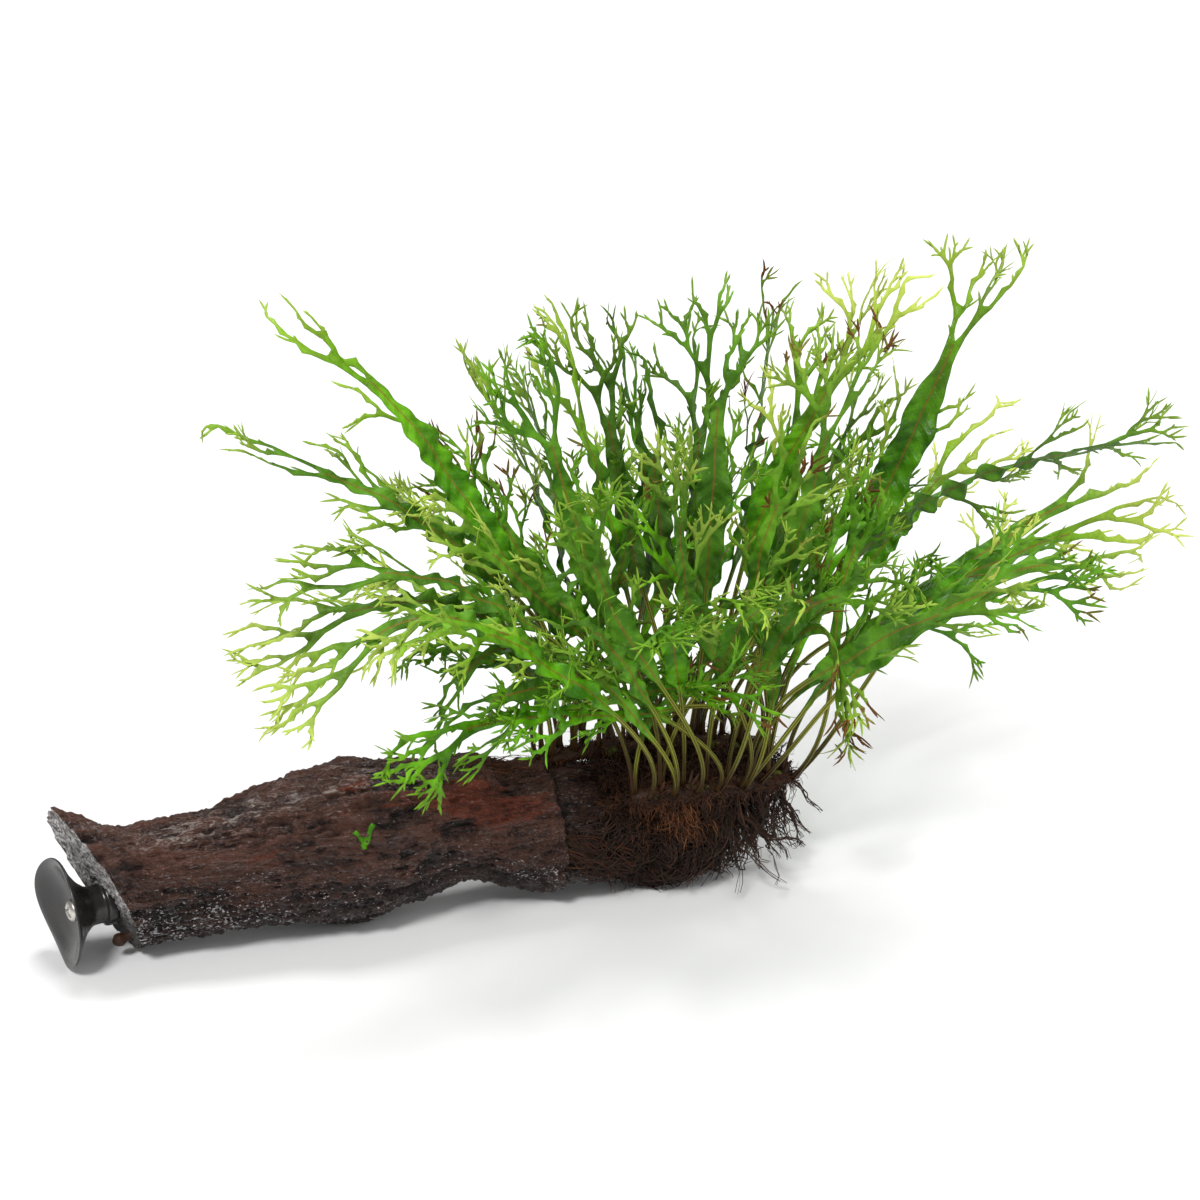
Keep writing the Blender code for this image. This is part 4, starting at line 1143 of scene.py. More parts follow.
def frond_row(leaf, frond, look, distance):
    """One row across the stipe or the blade, with the blade's fold, quilting and wavy margin."""
    centre, _, side, face = frond.frame(distance)
    half = frond.half_width(distance)
    share = (distance - frond.stipe) / (frond.blade_end - frond.stipe)
    in_blade = min(max(share, 0.0), 1.0)
    open_blade = smooth(share, -0.02, 0.16)
    free = math.sin(math.pi * in_blade) ** 0.5 if 0 < in_blade < 1 else 0.0
    swollen = 1 + 0.75 * math.exp(-distance / (2.2 * MM))
    rise = distance / frond.stipe if share < 0 else 1 + in_blade
    row = []
    for k in range(COLUMNS + 1):
        across = 1 - 2 * k / COLUMNS
        reach = abs(across)
        sign = 1 if across > 0 else -1
        phase = look["phase"] * (1.7 if sign > 0 else 1.0)
        lobe = 1 + free * 0.10 * math.sin(distance / (look["wave"] * 0.37) + 2 * phase)
        out = half * across * (1 + (lobe - 1) * reach)
        out *= swollen * STIPE_SLIM if share < 0 else 1 + (look["slim"] - 1) * free
        ripple = math.sin(2 * math.pi * distance / look["wave"] + phase + 0.8 * math.sin(distance / (9 * MM)))
        lift = look["fold"] * abs(out) * open_blade * free
        lift += look["ripple"] * reach**2 * ripple * free * min(half / (5 * MM), 1.2)
        quilt = abs(math.sin(math.pi * (distance + 0.8 * abs(out)) / QUILT_STEP))
        lift += QUILT_DEPTH * quilt * (1 - reach**3) * free * min(1.0, reach * 4)
        lift += look["sway"] * math.sin(distance / look["swing"] + look["phase"]) * free
        round_half = STIPE_DEEP * swollen * math.sqrt(max(1 - 0.94 * across**2, 0.0))
        groove = 1 - 0.22 * math.exp(-((across / 0.3) ** 2))
        rib = RIB_HALF * math.exp(-((out / RIB_REACH) ** 2)) * (1 - 0.6 * in_blade)
        flat_half = LEAF_HALF * (1 - 0.45 * reach) + rib
        half_thickness = round_half * groove * (1 - open_blade) + flat_half * open_blade
        place = centre + side * out + face * lift
        row.append(leaf.add(place, half_thickness, distance, across, abs(out), rise))
    return row


def ribbon_row(leaf, twig, number, along, rise, dead, chance):
    """Three points across a crest's ribbon, with its middle sunk a little."""
    centre, side, half = twig.stations[number]
    half *= RIBBON_SLIM[twig.level] * chance.uniform(0.82, 1.15) * (0.66 if leaf.bushy < SPARSE else 1.0)
    face = twig.faces[number]
    thin = min(LEAF_HALF, half * 0.35)
    return [
        leaf.add(centre + side * half, thin * 0.6, along, -1.0, half, rise, dead),
        leaf.add(centre - face * half * 0.30, thin * 1.3, along, 0.0, NO_RIB, rise, dead),
        leaf.add(centre - side * half, thin * 0.6, along, 1.0, half, rise, dead),
    ]


def add_finger(leaf, near, far, heading, face, length, along, rise, dead, chance):
    """A thin pointed ribbon that stands on the edge between two points of a margin."""
    start = (leaf.points[near] + leaf.points[far]) / 2
    spread = leaf.points[far] - leaf.points[near]
    spread = (spread - heading * spread.dot(heading)).normalized()
    bow = chance.uniform(-0.25, 0.35) * length
    previous = (near, far)
    bend = spread * chance.uniform(-0.22, 0.22) * length
    for share, half in ((0.36, 0.42), (0.74, 0.34)):
        centre = start + heading * length * share + face * bow * share**2 + bend * share**2
        half *= chance.uniform(0.8, 1.25) * MM
        row = [
            leaf.add(centre + spread * edge, LEAF_HALF * 0.6, along, 1.0, MM, rise + 0.3 * share, dead)
            for edge in (-half, half)
        ]
        leaf.faces.append((*previous, row[1], row[0]))
        previous = row
    tip = start + heading * length + face * bow + bend
    leaf.faces.append((*previous, leaf.add(tip, 0.05 * MM, along, 1.0, MM, rise + 0.4, dead * 1.3)))


def crest_end(leaf, twig, before, row, along, dead, chance):
    """The last ribbon ends in two to four fingers, like a small open hand."""
    face = twig.face
    ends = [(row[0], row[1], -1), (row[1], row[2], 1)]
    fan = math.radians(chance.uniform(8, 22))
    if chance.random() < 0.40 * leaf.bushy:
        ends.append((before[0], row[0], -2.2))
    if chance.random() < 0.22 * leaf.bushy:
        ends.append((row[2], before[2], 2.2))
    for near, far, turn in ends:
        angle = fan * turn * chance.uniform(0.6, 1.3)
        heading = (Matrix.Rotation(-angle, 3, face) @ twig.heading).normalized()
        heading = (heading + face * chance.uniform(-0.25, 0.25)).normalized()
        length = chance.uniform(2.8, 8.5) * MM
        add_finger(leaf, near, far, heading, face, length, along, 3.0, dead, chance)


def fine_crest(leaf, frond, edge, path, twig, along):
    """A ribbon of the crest down to its last tips."""
    chance = random.Random(f"{frond.seed} {path} fine")
    row = edge
    step = (twig.stations[1][0] - twig.stations[0][0]).length
    dead = leaf.dead * DEAD_SHARES[twig.level] * chance.uniform(0.3, 1.2)
    stride = 1 if twig.level < 3 else 2
    before = row
    for number in range(stride, TWIG_STEPS + 1, stride):
        share = number / TWIG_STEPS
        rise = 2 + (twig.level + share) / len(TWIG_SHARES)
        here = along + step * number
        new_row = ribbon_row(leaf, twig, number, here, rise, dead * (0.6 + 0.4 * share), chance)
        leaf.strip(row, new_row)
        side = twig.stations[number][1]
        for end, sign in ((0, 1), (2, -1)):
            if 1 < number < TWIG_STEPS and chance.random() < FINGER_CHANCE:
                heading = (side * sign + twig.heading * chance.uniform(0.9, 2.6)).normalized()
                corners = (row[end], new_row[end]) if sign > 0 else (new_row[end], row[end])
                length = chance.choice((chance.uniform(1.2, 2.6), chance.uniform(3.0, 8.0))) * MM
                face = twig.faces[number]
                add_finger(leaf, *corners, heading, face, length, here, rise + 0.1, dead, chance)
        before, row = row, new_row
    along += step * TWIG_STEPS
    if twig.level == len(TWIG_SHARES) - 1:
        crest_end(leaf, twig, before, row, along, dead, chance)
        return
    fork_or_go_on(leaf, frond, row, path, twig, along, chance)


def fork_or_go_on(leaf, frond, row, path, twig, along, chance):
    """The ribbon's two children, or only the main one with a spike beside it."""
    children = twig.children(frond, path, False, FORK_NARROW[twig.level])
    rise = 2 + (twig.level + 1) / len(TWIG_SHARES)
    if chance.random() > SIDE_CHANCE[twig.level + 1] * leaf.bushy:
        sign, name, child = next(child for child in children if child[1].endswith("m"))
        fine_crest(leaf, frond, row, name, child, along)
        return
    half = twig.stations[-1][2] * RIBBON_SLIM[twig.level]
    thin = min(LEAF_HALF, half * 0.5)
    base = leaf.points[row[1]]
    fork = leaf.add(base + twig.heading * half * 1.3, thin, along, 0.5, NO_RIB, rise)
    for sign, name, child in children:
        corner = row[0] if sign > 0 else row[2]
        halfway = (leaf.points[corner] + leaf.points[fork]) / 2 + child.heading * half * 0.5
        middle = leaf.add(halfway, thin, along, 0.0, NO_RIB, rise)
        if sign > 0:
            leaf.faces.append((corner, row[1], fork, middle))
            start = [corner, middle, fork]
        else:
            leaf.faces.append((row[1], corner, middle, fork))
            start = [fork, middle, corner]
        fine_crest(leaf, frond, start, name, child, along)


def side_shoot(leaf, frond, near, far, sign, number, along):
    """A small forked shoot on the blade's margin, between two rows."""
    chance = random.Random(f"{frond.seed} shoot {number}")
    _, heading, side, face = frond.frame(along)
    start = (leaf.points[near] + leaf.points[far]) / 2
    lean = math.radians(chance.uniform(18, 48))
    heading = heading * math.cos(lean) + side * sign * math.sin(lean) + face * chance.uniform(-0.35, 0.35)
    path = f"{number:02d}x"[-3 if chance.random() < 0.55 else -2 :]
    twig = Twig(frond, path, start, SHOOT_HALF, heading.normalized(), face, False)
    rise = 2.25
    row = ribbon_row(leaf, twig, 1, along, rise, 0.0, chance)
    foot = (near, far) if sign > 0 else (far, near)
    leaf.faces.append((*foot, row[2], row[1], row[0]))
    for number in range(2, TWIG_STEPS + 1):
        new_row = ribbon_row(leaf, twig, number, along, rise + 0.05 * number, 0.0, chance)
        leaf.strip(row, new_row)
        row = new_row
    fork_or_go_on(leaf, frond, row, path, twig, along, chance)


def add_shoots(leaf, frond, rows, stops, count, chance):
    """Forked shoots here and there on the upper part of the blade's margin."""
    first = next(i for i, distance in enumerate(stops) if distance >= frond.stipe)
    blade_rows = len(rows) - 1 - first
    used = []
    for number in range(count):
        spot = first + round(blade_rows * chance.uniform(0.42, 0.97)) - 1
        sign = chance.choice((-1, 1))
        close = any(abs(stops[spot] - stops[s]) < SHOOT_ROOM and g == sign for s, g in used)
        if close or spot + 1 >= len(rows):
            continue
        used.append((spot, sign))
        end = 0 if sign > 0 else COLUMNS
        side_shoot(leaf, frond, rows[spot][end], rows[spot + 1][end], sign, number, stops[spot])


def begin_crest(leaf, frond, row):
    """The blade's last row forks into the crest's first two ribbons."""
    centre, heading, side, face = frond.frame(frond.blade_end)
    half = frond.half_width(frond.blade_end)
    fork_place, twigs = first_twigs(frond, centre, heading, side, face, half)
    fork = leaf.add(fork_place, LEAF_HALF, frond.blade_end, 0.5, NO_RIB, 2.0)
    middle_number = COLUMNS // 2
    for sign, path, twig in twigs:
        middle = leaf.add(twig.stations[0][0], LEAF_HALF, frond.blade_end, 0.0, NO_RIB, 2.0)
        if sign > 0:
            leaf.faces.append((*row[: middle_number + 1], fork, middle))
            start = [row[0], middle, fork]
        else:
            leaf.faces.append((*row[middle_number:], middle, fork))
            start = [fork, middle, row[-1]]
        fine_crest(leaf, frond, start, path, twig, frond.blade_end)


def fine_frond(frond, age, dead, own):
    """Points, faces and looks of a frond's own surface, with what is particular to it."""
    chance = random.Random(f"{frond.seed} look")
    bushy = own.get("bushy", random.Random(f"{frond.seed} bushy").choice(BUSHY_CHOICES))
    look = {
        "phase": chance.uniform(0, 6.28),
        "wave": chance.uniform(8.5, 13.5) * MM,
        "ripple": chance.uniform(1.2, 2.9) * MM,
        "fold": chance.uniform(-0.15, 0.45),
        "slim": chance.uniform(0.48, 0.80),
        "sway": chance.uniform(0.3, 1.3) * MM,
        "swing": chance.uniform(4.0, 6.5) * MM,
        "shoots": (2, 3 + round(5 * bushy)),
    }
    look["slim"] = own.get("slim", look["slim"])
    yellow = own.get("yellow", chance.random() ** 2 * 0.4)
    leaf = Leaf(age, dead, yellow, chance.random() < TURNED_SHARE, bushy)
    stipe_rows = max(round(frond.stipe / STIPE_STEP), 4)
    blade = frond.blade_end - frond.stipe
    blade_rows = round(blade / BLADE_STEP)
    stops = [frond.stipe * (i / stipe_rows) ** 1.3 for i in range(stipe_rows)]
    stops += [frond.stipe + blade * i / blade_rows for i in range(blade_rows + 1)]
    rows = [frond_row(leaf, frond, look, distance) for distance in stops]
    for near, far in zip(rows, rows[1:]):
        leaf.strip(near, far)
    add_shoots(leaf, frond, rows, stops, chance.randint(*look["shoots"]), chance)
    begin_crest(leaf, frond, rows[-1])
    return leaf.solid()


# Wood


def settled(point):
    if point.z < SETTLE:
        point.z = 0.0
    return point


def wood_point(x, angle, grow=0.0):
    """A point of the wood's surface. Angle 0 is the top and a quarter turn is the front."""
    height, radius = between(WOOD_SECTIONS, x)
    side = math.sin(angle) ** 2
    lumps = 1 + side * (
        0.055 * math.cos(2 * angle - 0.7 + 0.020 * x)
        + 0.040 * math.cos(3 * angle + 1.3 + 0.045 * x)
        + 0.022 * math.cos(5 * angle - 0.060 * x)
    )
    below = max(0.0, -math.cos(angle - BELLY_TURN)) ** BELLY_POWER
    belly = BELLY_DROP * below * math.exp(-(((x - BELLY_AT) / BELLY_LENGTH) ** 2))
    reach = radius * lumps + belly + grow / MM
    return settled(mm((x, -reach * WOOD_DEPTH * math.sin(angle), height + reach * math.cos(angle))))


def ledge_edge(angle):
    """Where the thicker, flaked part of the wood ends, in mm along it."""
    side = math.sin(angle) ** 2
    wavy = noise.noise(Vector((angle * 2.0, 3.1, 0.0))) + 0.4 * noise.noise(Vector((angle * 9.0, 1.1, 0.0)))
    return LEDGE_AT + 7.5 + 2.5 * side + 2.6 * wavy


def wood_detail(x, angle, point):
    """How far in mm the real surface stands out of the plain one: flakes, fibres, lumps and the ledge."""
    p = point / MM
    side = math.sin(angle) ** 2
    edge = ledge_edge(angle)
    rough = 1 - 0.50 * smooth(x, edge - 1, edge + 3)
    broad = noise.noise(Vector((p.x * 0.035, p.y * 0.09, p.z * 0.09 + 7.0)))
    flakes = noise.noise(Vector((p.x * 0.060, p.y * 0.19 + 4.0, p.z * 0.19)))
    steps = 0.8 * smooth(flakes, 0.02, 0.06) + 0.7 * smooth(flakes, 0.24, 0.28)
    steps -= 0.7 * smooth(-flakes, 0.16, 0.20)
    fibres = 1 - 2 * abs(noise.noise(Vector((p.x * 0.045, p.y * 0.36, p.z * 0.36))))
    threads = 1 - 2 * abs(noise.noise(Vector((p.x * 0.15, p.y * 0.9 + 9.0, p.z * 0.9))))
    pits = noise.turbulence(p * 0.22, 4, False)
    grit = noise.noise(p * 0.75)
    wet = wet_band(x, angle)
    out = 1.2 * broad + steps * (1 - 0.5 * wet) + 0.90 * fibres + 0.85 * threads - 1.1 * (pits - 0.4)
    out = rough * (out + (0.35 + 0.45 * wet) * grit)
    before = max(0.0, 1 - (edge - x) / 22) if x < edge else 1 - smooth(x, edge, edge + 1.0)
    crack = math.exp(-(((x - edge - 0.9) / 0.9) ** 2))
    return out + (LEDGE_HEIGHT + 0.7) * (0.45 + 0.55 * side) * before - 1.6 * crack - 0.8


def wet_band(x, angle):
    """1 where the wood's lower front is wet and scaly."""
    low = smooth(angle, 1.25, 1.75) * (1 - smooth(angle, 3.4, 3.9))
    return low * (1 - 0.6 * smooth(x, -20, 20))


def patch(x, angle, at, length, turn, spread):
    """1 in the middle of a patch of the bark and less all around it."""
    return math.exp(-(((x - at) / length) ** 2) - ((angle - turn) / spread) ** 2)


def wood_look(x, angle, out):
    """Numbers for the colour: the relief, the pale grey on the back, which is dried-out fibres with a painted
    sheen and the pale flake, and the red flakes.
    """
    turned = angle if angle < math.pi else angle - 2 * math.pi
    # Pale grey on the back of the left part: dried-out fibres and a painted sheen along the top.
    pale_and_sheen = math.exp(-(((turned - 0.30) / 0.42) ** 2)) * smooth(x, -96, -75) * (1 - smooth(x, -5, 50))
    flake = patch(x, turned, *PALE_FLAKE)
    red = max(strength * patch(x, turned, *where) for strength, *where in RED_PATCHES)
    return (out, pale_and_sheen + 1.2 * flake, red)


def wood_skin(x, angle):
    """The point with its detail, in metres, and the detail's height in mm."""
    point = wood_point(x, angle)
    out = wood_detail(x, angle, point) * smooth(point.z, 0.0, 3 * MM)
    away = Vector((0.0, -math.sin(angle) * WOOD_DEPTH, math.cos(angle)))
    point = point + away * out * MM
    point.z = max(point.z, 0.0)
    return point, out


def turned_with_cup(point):
    """The cup and its screw face a little towards the front, about the flange's middle."""
    return CUP_PIVOT + Matrix.Rotation(CUP_TURN, 3, "Z") @ (point - CUP_PIVOT)


def in_cup_pocket(point):
    """A point of the sawn end, pushed back where the cup's flange sits in it."""
    turn = Matrix.Rotation(CUP_TURN, 3, "Z")
    local = turn.inverted() @ (point - CUP_PIVOT)
    if math.hypot(local.y, local.z) < CUP_FLANGE_RADIUS + 0.8 * MM:
        local.x = max(local.x, GAP)
    return CUP_PIVOT + turn @ local


def cut_x(y, z):
    """Where the sawn end lies, in mm, at a place across the wood."""
    return CUT_POINT[0] + (CUT_NORMAL[1] * y + CUT_NORMAL[2] * (z - CUT_POINT[2])) / -CUT_NORMAL[0]


def cut_start(angle):
    x = CUT_POINT[0]
    for _ in range(12):
        point, _ = wood_skin(x, angle)
        x = cut_x(point.y / MM, point.z / MM)
    return x


def add_cut(points, faces):
    """The sawn end, from its edge in to the cup's axis, with the pocket that the flange sits in."""
    ring = list(range(WOOD_AROUND))
    for j in range(1, CUT_RINGS):
        share = j / CUT_RINGS
        new_ring = []
        for k in range(WOOD_AROUND):
            rim = points[k]
            y = rim.y + (CUP_AXIS.y - rim.y) * share
            z = rim.z + (CUP_AXIS.z - rim.z) * share
            x = cut_x(y / MM, z / MM) * MM
            rough = noise.turbulence(Vector((0.0, y, z)) / MM * 0.5, 3, False) - 0.5
            x -= 0.9 * MM * rough
            new_ring.append(len(points))
            points.append(in_cup_pocket(Vector((x, y, z))))
        for k in range(WOOD_AROUND):
            n = (k + 1) % WOOD_AROUND
            faces.append((ring[n], ring[k], new_ring[k], new_ring[n]))
        ring = new_ring
    middle = len(points)
    points.append(Vector((CUP_FLANGE_X + GAP, CUP_AXIS.y, CUP_AXIS.z)))
    faces += [(ring[(k + 1) % WOOD_AROUND], ring[k], middle) for k in range(WOOD_AROUND)]


def make_wood(materials):
    """The bark as one grid around the wood and along it, then the sawn end."""
    angles = [2 * math.pi * k / WOOD_AROUND for k in range(WOOD_AROUND)]
    starts = [cut_start(angle) for angle in angles]
    end = WOOD_SECTIONS[-1][0]
    points, looks = [], []
    for i in range(WOOD_ALONG + 1):
        for start, angle in zip(starts, angles):
            x = start + (end - start) * i / WOOD_ALONG
            point, out = wood_skin(x, angle)
            points.append(point)
            looks.append(wood_look(x, angle, out))
    faces = side_faces(WOOD_ALONG + 1, WOOD_AROUND)
    last = WOOD_ALONG * WOOD_AROUND
    tip = len(points)
    points.append(sum((points[last + k] for k in range(WOOD_AROUND)), Vector()) / WOOD_AROUND)
    faces += [(last + k, last + (k + 1) % WOOD_AROUND, tip) for k in range(WOOD_AROUND)]
    bark_faces = len(faces)
    add_cut(points, faces)
    kinds = [0] * bark_faces + [1] * (len(faces) - bark_faces)
    looks += [(0.0, 0.0, 0.0)] * (len(points) - len(looks))
    wood = to_object("driftwood_bark", points, faces, materials, {"wood_look": looks}, kinds)
    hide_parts("driftwood")


# Roots


class Strands:
    """Many thin tubes in one mesh, each with its own shade."""

    def __init__(self):
        self.points = []
        self.faces = []
        self.shades = []

    def add(self, path, radius, shade, sides=3):
        first = len(self.points)
        count = len(path)
        side = None
        for i, point in enumerate(path):
            ahead = path[min(i + 1, count - 1)] - path[max(i - 1, 0)]
            heading = ahead.normalized()
            if side is None:
                side = heading.orthogonal().normalized()
            side = (side - heading * side.dot(heading)).normalized()
            other = heading.cross(side)
            share = i / (count - 1)
            here = radius * (1 - 0.65 * share**2)
            for k in range(sides):
                turn = 2 * math.pi * k / sides
                self.points.append(point + (side * math.cos(turn) + other * math.sin(turn)) * here)
                self.shades.append((shade, 0.0, 0.0))
        self.faces += side_faces(count, sides, first) + end_faces(count, sides, first)

    def piece(self, name, material):
        return to_object(name, self.points, self.faces, [material], {"root_shade": self.shades})


def hem_start(angle):
    """How far along the wood the roots begin, in mm: first on top, last at the sides."""
    side = math.sin(angle) ** 2
    plain = HEM_TOP if math.cos(angle) > 0 else HEM_BOTTOM
    ragged = 2.2 * math.cos(5 * angle + 0.8) + 3.0 * noise.noise(Vector((angle * 3.0, 5.0, 0.0)))
    return plain + (HEM_FRONT - plain) * side + ragged


def mat_mound(x, angle):
    """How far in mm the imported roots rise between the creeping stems, or stay back below."""
    top = smooth(math.cos(angle), 0.15, 0.70) * smooth(x, 84, 98)
    rough = noise.noise(Vector((x * 0.14, 2.2 * angle, 1.7)))
    return top * (3.2 + 2.4 * rough) + (1 - top) * (2.6 * rough - 1.5)


def mat_point(x, angle):
    height, radius = between(MAT_SECTIONS, x)
    reach = radius + mat_mound(x, angle)
    return settled(mm((x, -reach * math.sin(angle), height + reach * math.cos(angle))))


def root_ground(x, angle, lift):
    """A point over the mat where it is, and over the wood before it."""
    last = MAT_SECTIONS[-1][0]
    point = mat_point(min(x, last), angle) if x > hem_start(angle) else wood_point(x, angle)
    point = point + spoke(angle) * lift
    point.x = x * MM
    point.z = max(point.z, 0.35 * MM)
    return point


def mat_core():
    """The dark packed inside of the root mat, rough all over."""
    end = MAT_SECTIONS[-1][0]
    points, shades = [], []
    for i in range(MAT_ALONG + 1):
        share = math.sin(math.pi / 2 * i / MAT_ALONG)
        for k in range(MAT_AROUND):
            angle = 2 * math.pi * k / MAT_AROUND
            start = hem_start(angle)
            x = start + (end - start) * share
            point = mat_point(x, angle)
            p = point / MM
            out = 1.3 * noise.noise(p * 0.28) + 0.9 * noise.noise(Vector((p.x * 0.9, p.y * 0.5, p.z * 0.5)))
            out = (out - 0.9) * smooth(point.z, 0.0, 3 * MM)
            if i == 0:
                out -= 2.0
            points.append(point + spoke(angle) * out * MM)
            # Lighter and rustier towards the top: partly the roots' own rusty colour, partly a painted
            # highlight on the top.
            rust_and_top_highlight = smooth(math.cos(angle), 0.1, 0.9)
            shades.append((0.10 + 0.22 * rust_and_top_highlight + 0.22 * noise.noise(p * 0.15), 0.0, 0.0))
    size = (MAT_ALONG + 1, MAT_AROUND)
    return points, side_faces(*size) + end_faces(*size), shades


def wander(chance, start, heading, steps, length, droop, wobble, lowest=0.4):
    """A path that sinks and turns a little at each step, down to the lowest height in mm."""
    path = [start]
    step = length / steps
    for _ in range(steps):
        turn = stray(chance, 1, 1, 1) * wobble
        heading = (heading + turn - UP * droop).normalized()
        point = path[-1] + heading * step
        if point.z < lowest * MM:
            point.z = max(point.z, lowest * MM)
            heading = Vector((heading.x, heading.y, abs(heading.z) * 0.4)).normalized()
        path.append(point)
    return path


def creep(chance, x, angle, way, steps, stride, lift, wobble=0.42):
    """A root that winds over the mat. Way 0 leads along the wood, and a quarter turn leads down."""
    sign = 1 if angle > 0 else -1
    path = []
    for _ in range(steps + 1):
        path.append(root_ground(x, angle, lift * MM))
        way += chance.gauss(0, wobble)
        x += stride * math.cos(way)
        angle += sign * stride * math.sin(way) / CREEP_RADIUS
        lift = min(max(lift + chance.gauss(0, 0.45), -0.9), 2.4)
        if x > CREEP_TO or x < CREEP_FROM:
            way = math.pi - way
    return path


def stem_at(name, x):
    """The middle of a creeping stem at a place along the wood, in mm, and its radius."""
    y, z, radius = between(RHIZOMES[name], x)
    return Vector((x, y, z)), radius


def crown_bed(x, share):
    """A place in mm on the roots between the front stem (0), the top one (1) and the back one (2)."""
    front, _ = stem_at("rhizome_front", x)
    top, _ = stem_at("rhizome_top", x)
    back, _ = stem_at("rhizome_back", x)
    if share < 1:
        place = front.lerp(top, share)
    else:
        place = top.lerp(back, share - 1)
    place.z += 1.6 * math.sin(math.pi * (share % 1.0)) - 0.8
    return place


def winding_roots(strands, chance):
    """Roots that wind over the mat every way, mostly down."""
    for _ in range(WINDING_ROOTS):
        angle = chance.choice((-1, 1, 1)) * math.radians(chance.uniform(12, 120))
        x = chance.uniform(84, 136) + 6 * math.sin(angle) ** 2
        way = chance.gauss(1.2, 0.8)
        path = creep(chance, x, angle, way, 11, chance.uniform(1.4, 3.2), chance.uniform(-0.5, 1.4))
        # Roots higher on the mat are lighter and rustier: partly their own rusty colour, partly a painted
        # highlight on the top.
        rust_and_top_highlight = smooth(math.cos(angle), 0.0, 0.9)
        shade = chance.uniform(0.0, 0.42) + 0.35 * rust_and_top_highlight * chance.random()
        strands.add(path, chance.uniform(0.16, 0.40) * MM, shade)


def rust_tuft(strands, chance):
    """The orange-brown tuft under the front stem."""
    for _ in range(RUST_ROOTS):
        x = chance.gauss(112, 6.5)
        angle = math.radians(chance.uniform(38, 84))
        start = root_ground(x, angle, chance.uniform(-0.6, 0.8) * MM)
        heading = Vector((chance.gauss(-0.1, 0.6), -math.sin(angle), chance.gauss(-0.1, 0.5))).normalized()
        path = wander(chance, start, heading, 6, chance.uniform(4, 11) * MM, 0.30, 0.40)
        strands.add(path, chance.uniform(0.10, 0.2) * MM, chance.uniform(0.66, 1.0))


def dark_tufts(strands, chance):
    """Darker tufts all over the upper part."""
    for _ in range(DARK_ROOTS):
        x = chance.uniform(90, 150)
        angle = math.radians(chance.choice((chance.uniform(30, 95), chance.uniform(-85, 30))))
        start = root_ground(x, angle, chance.uniform(-0.5, 1.0) * MM)
        heading = Vector((chance.gauss(0, 0.7), -math.sin(angle), math.cos(angle) * 0.7)).normalized()
        path = wander(chance, start, heading, 6, chance.uniform(5, 12) * MM, 0.30, 0.38)
        strands.add(path, chance.uniform(0.10, 0.22) * MM, chance.uniform(0.15, 0.75))


def long_bundle(strands, chance):
    """The long bundle that leaves the ledge and runs along the lower front to the mat."""
    steps = 14
    for _ in range(BUNDLE_ROOTS):
        path = []
        from_x = chance.gauss(71, 4)
        to_x = chance.uniform(96, 126)
        from_angle = math.radians(chance.gauss(88, 8))
        to_angle = math.radians(chance.gauss(148, 14))
        phase = chance.uniform(0, 6)
        waves = chance.uniform(4, 11)
        for i in range(steps + 1):
            share = i / steps
            curve = share**0.8
            x = from_x + (to_x - from_x) * share + chance.gauss(0, 0.7)
            angle = from_angle + (to_angle - from_angle) * curve + 0.13 * math.sin(phase + waves * share)
            lift = 0.4 + 1.5 * math.sin(math.pi * share) * chance.uniform(0.4, 1.3)
            path.append(root_ground(x, angle, lift * MM))
        radius = chance.uniform(0.14, 0.32) * MM
        strands.add(path, radius, chance.choice((chance.uniform(0.05, 0.35), chance.uniform(0.3, 0.66))))


def loose_ends(strands, chance):
    """Loose ends along the mat's lower edge."""
    for _ in range(LOOSE_ROOTS):
        x = chance.uniform(84, 138)
        angle = math.radians(chance.choice((-1, 1, 1)) * chance.uniform(80, 165))
        start = root_ground(x, angle, -0.4 * MM)
        heading = Vector((chance.uniform(-0.6, 1.0), -math.sin(angle) * 0.9, -0.4)).normalized()
        path = wander(chance, start, heading, 9, chance.uniform(5, 15) * MM, 0.05, 0.50)
        strands.add(path, chance.uniform(0.12, 0.28) * MM, chance.uniform(0.0, 0.55))


def make_root_mat(material):
    """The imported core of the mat, and all the roots that run over it and stand out of it."""
    chance = random.Random(5)
    strands = Strands()
    strands.points, strands.faces, strands.shades = mat_core()
    for add_kind in (winding_roots, rust_tuft, dark_tufts, long_bundle, loose_ends):
        add_kind(strands, chance)
    mat = strands.piece("root_mat_fibres", material)
    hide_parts("root_mat")


def thick_cores(strands):
    """Thick dark cores of the bed, which go on past the wood's end."""
    steps = 14
    for share in (0.12, 0.35, 0.6, 0.85, 1.2):
        path = []
        for i in range(steps + 1):
            x = 122 + 36 * i / steps
            place = crown_bed(min(x, BACK_BED_END if share > 1 else BED_END), share)
            place.x = x
            wobble = [noise.noise(Vector((x * 0.2, share * 9, layer))) for layer in (0, 7)]
            path.append((place + Vector((0.0, *wobble)) * 3.0 - UP * 3.6) * MM)
        strands.add(path, 3.6 * MM, 0.12, 10)


def crossing_roots(strands, chance):
    """Roots that cross from stem to stem."""
    steps = 7
    for _ in range(CROSSING_ROOTS):
        x = chance.uniform(88, 158)
        share = chance.uniform(-0.1, 1.9) if x < 144 else chance.uniform(-0.1, 1.1)
        run = chance.choice((-1, 1)) * chance.uniform(0.3, 0.8)
        slant = chance.gauss(0, 6)
        lift = chance.uniform(-2.0, 2.2)
        path = []
        for i in range(steps + 1):
            t = i / steps
            here = min(max(share + run * t, -0.15), 2.0)
            place = crown_bed(x + slant * t, here)
            arch = lift + 2.2 * math.sin(math.pi * t) * chance.uniform(0.6, 1.2)
            path.append((place + Vector((chance.gauss(0, 0.4), chance.gauss(0, 0.4), arch))) * MM)
        strands.add(path, chance.uniform(0.13, 0.32) * MM, chance.uniform(0.08, 0.62))


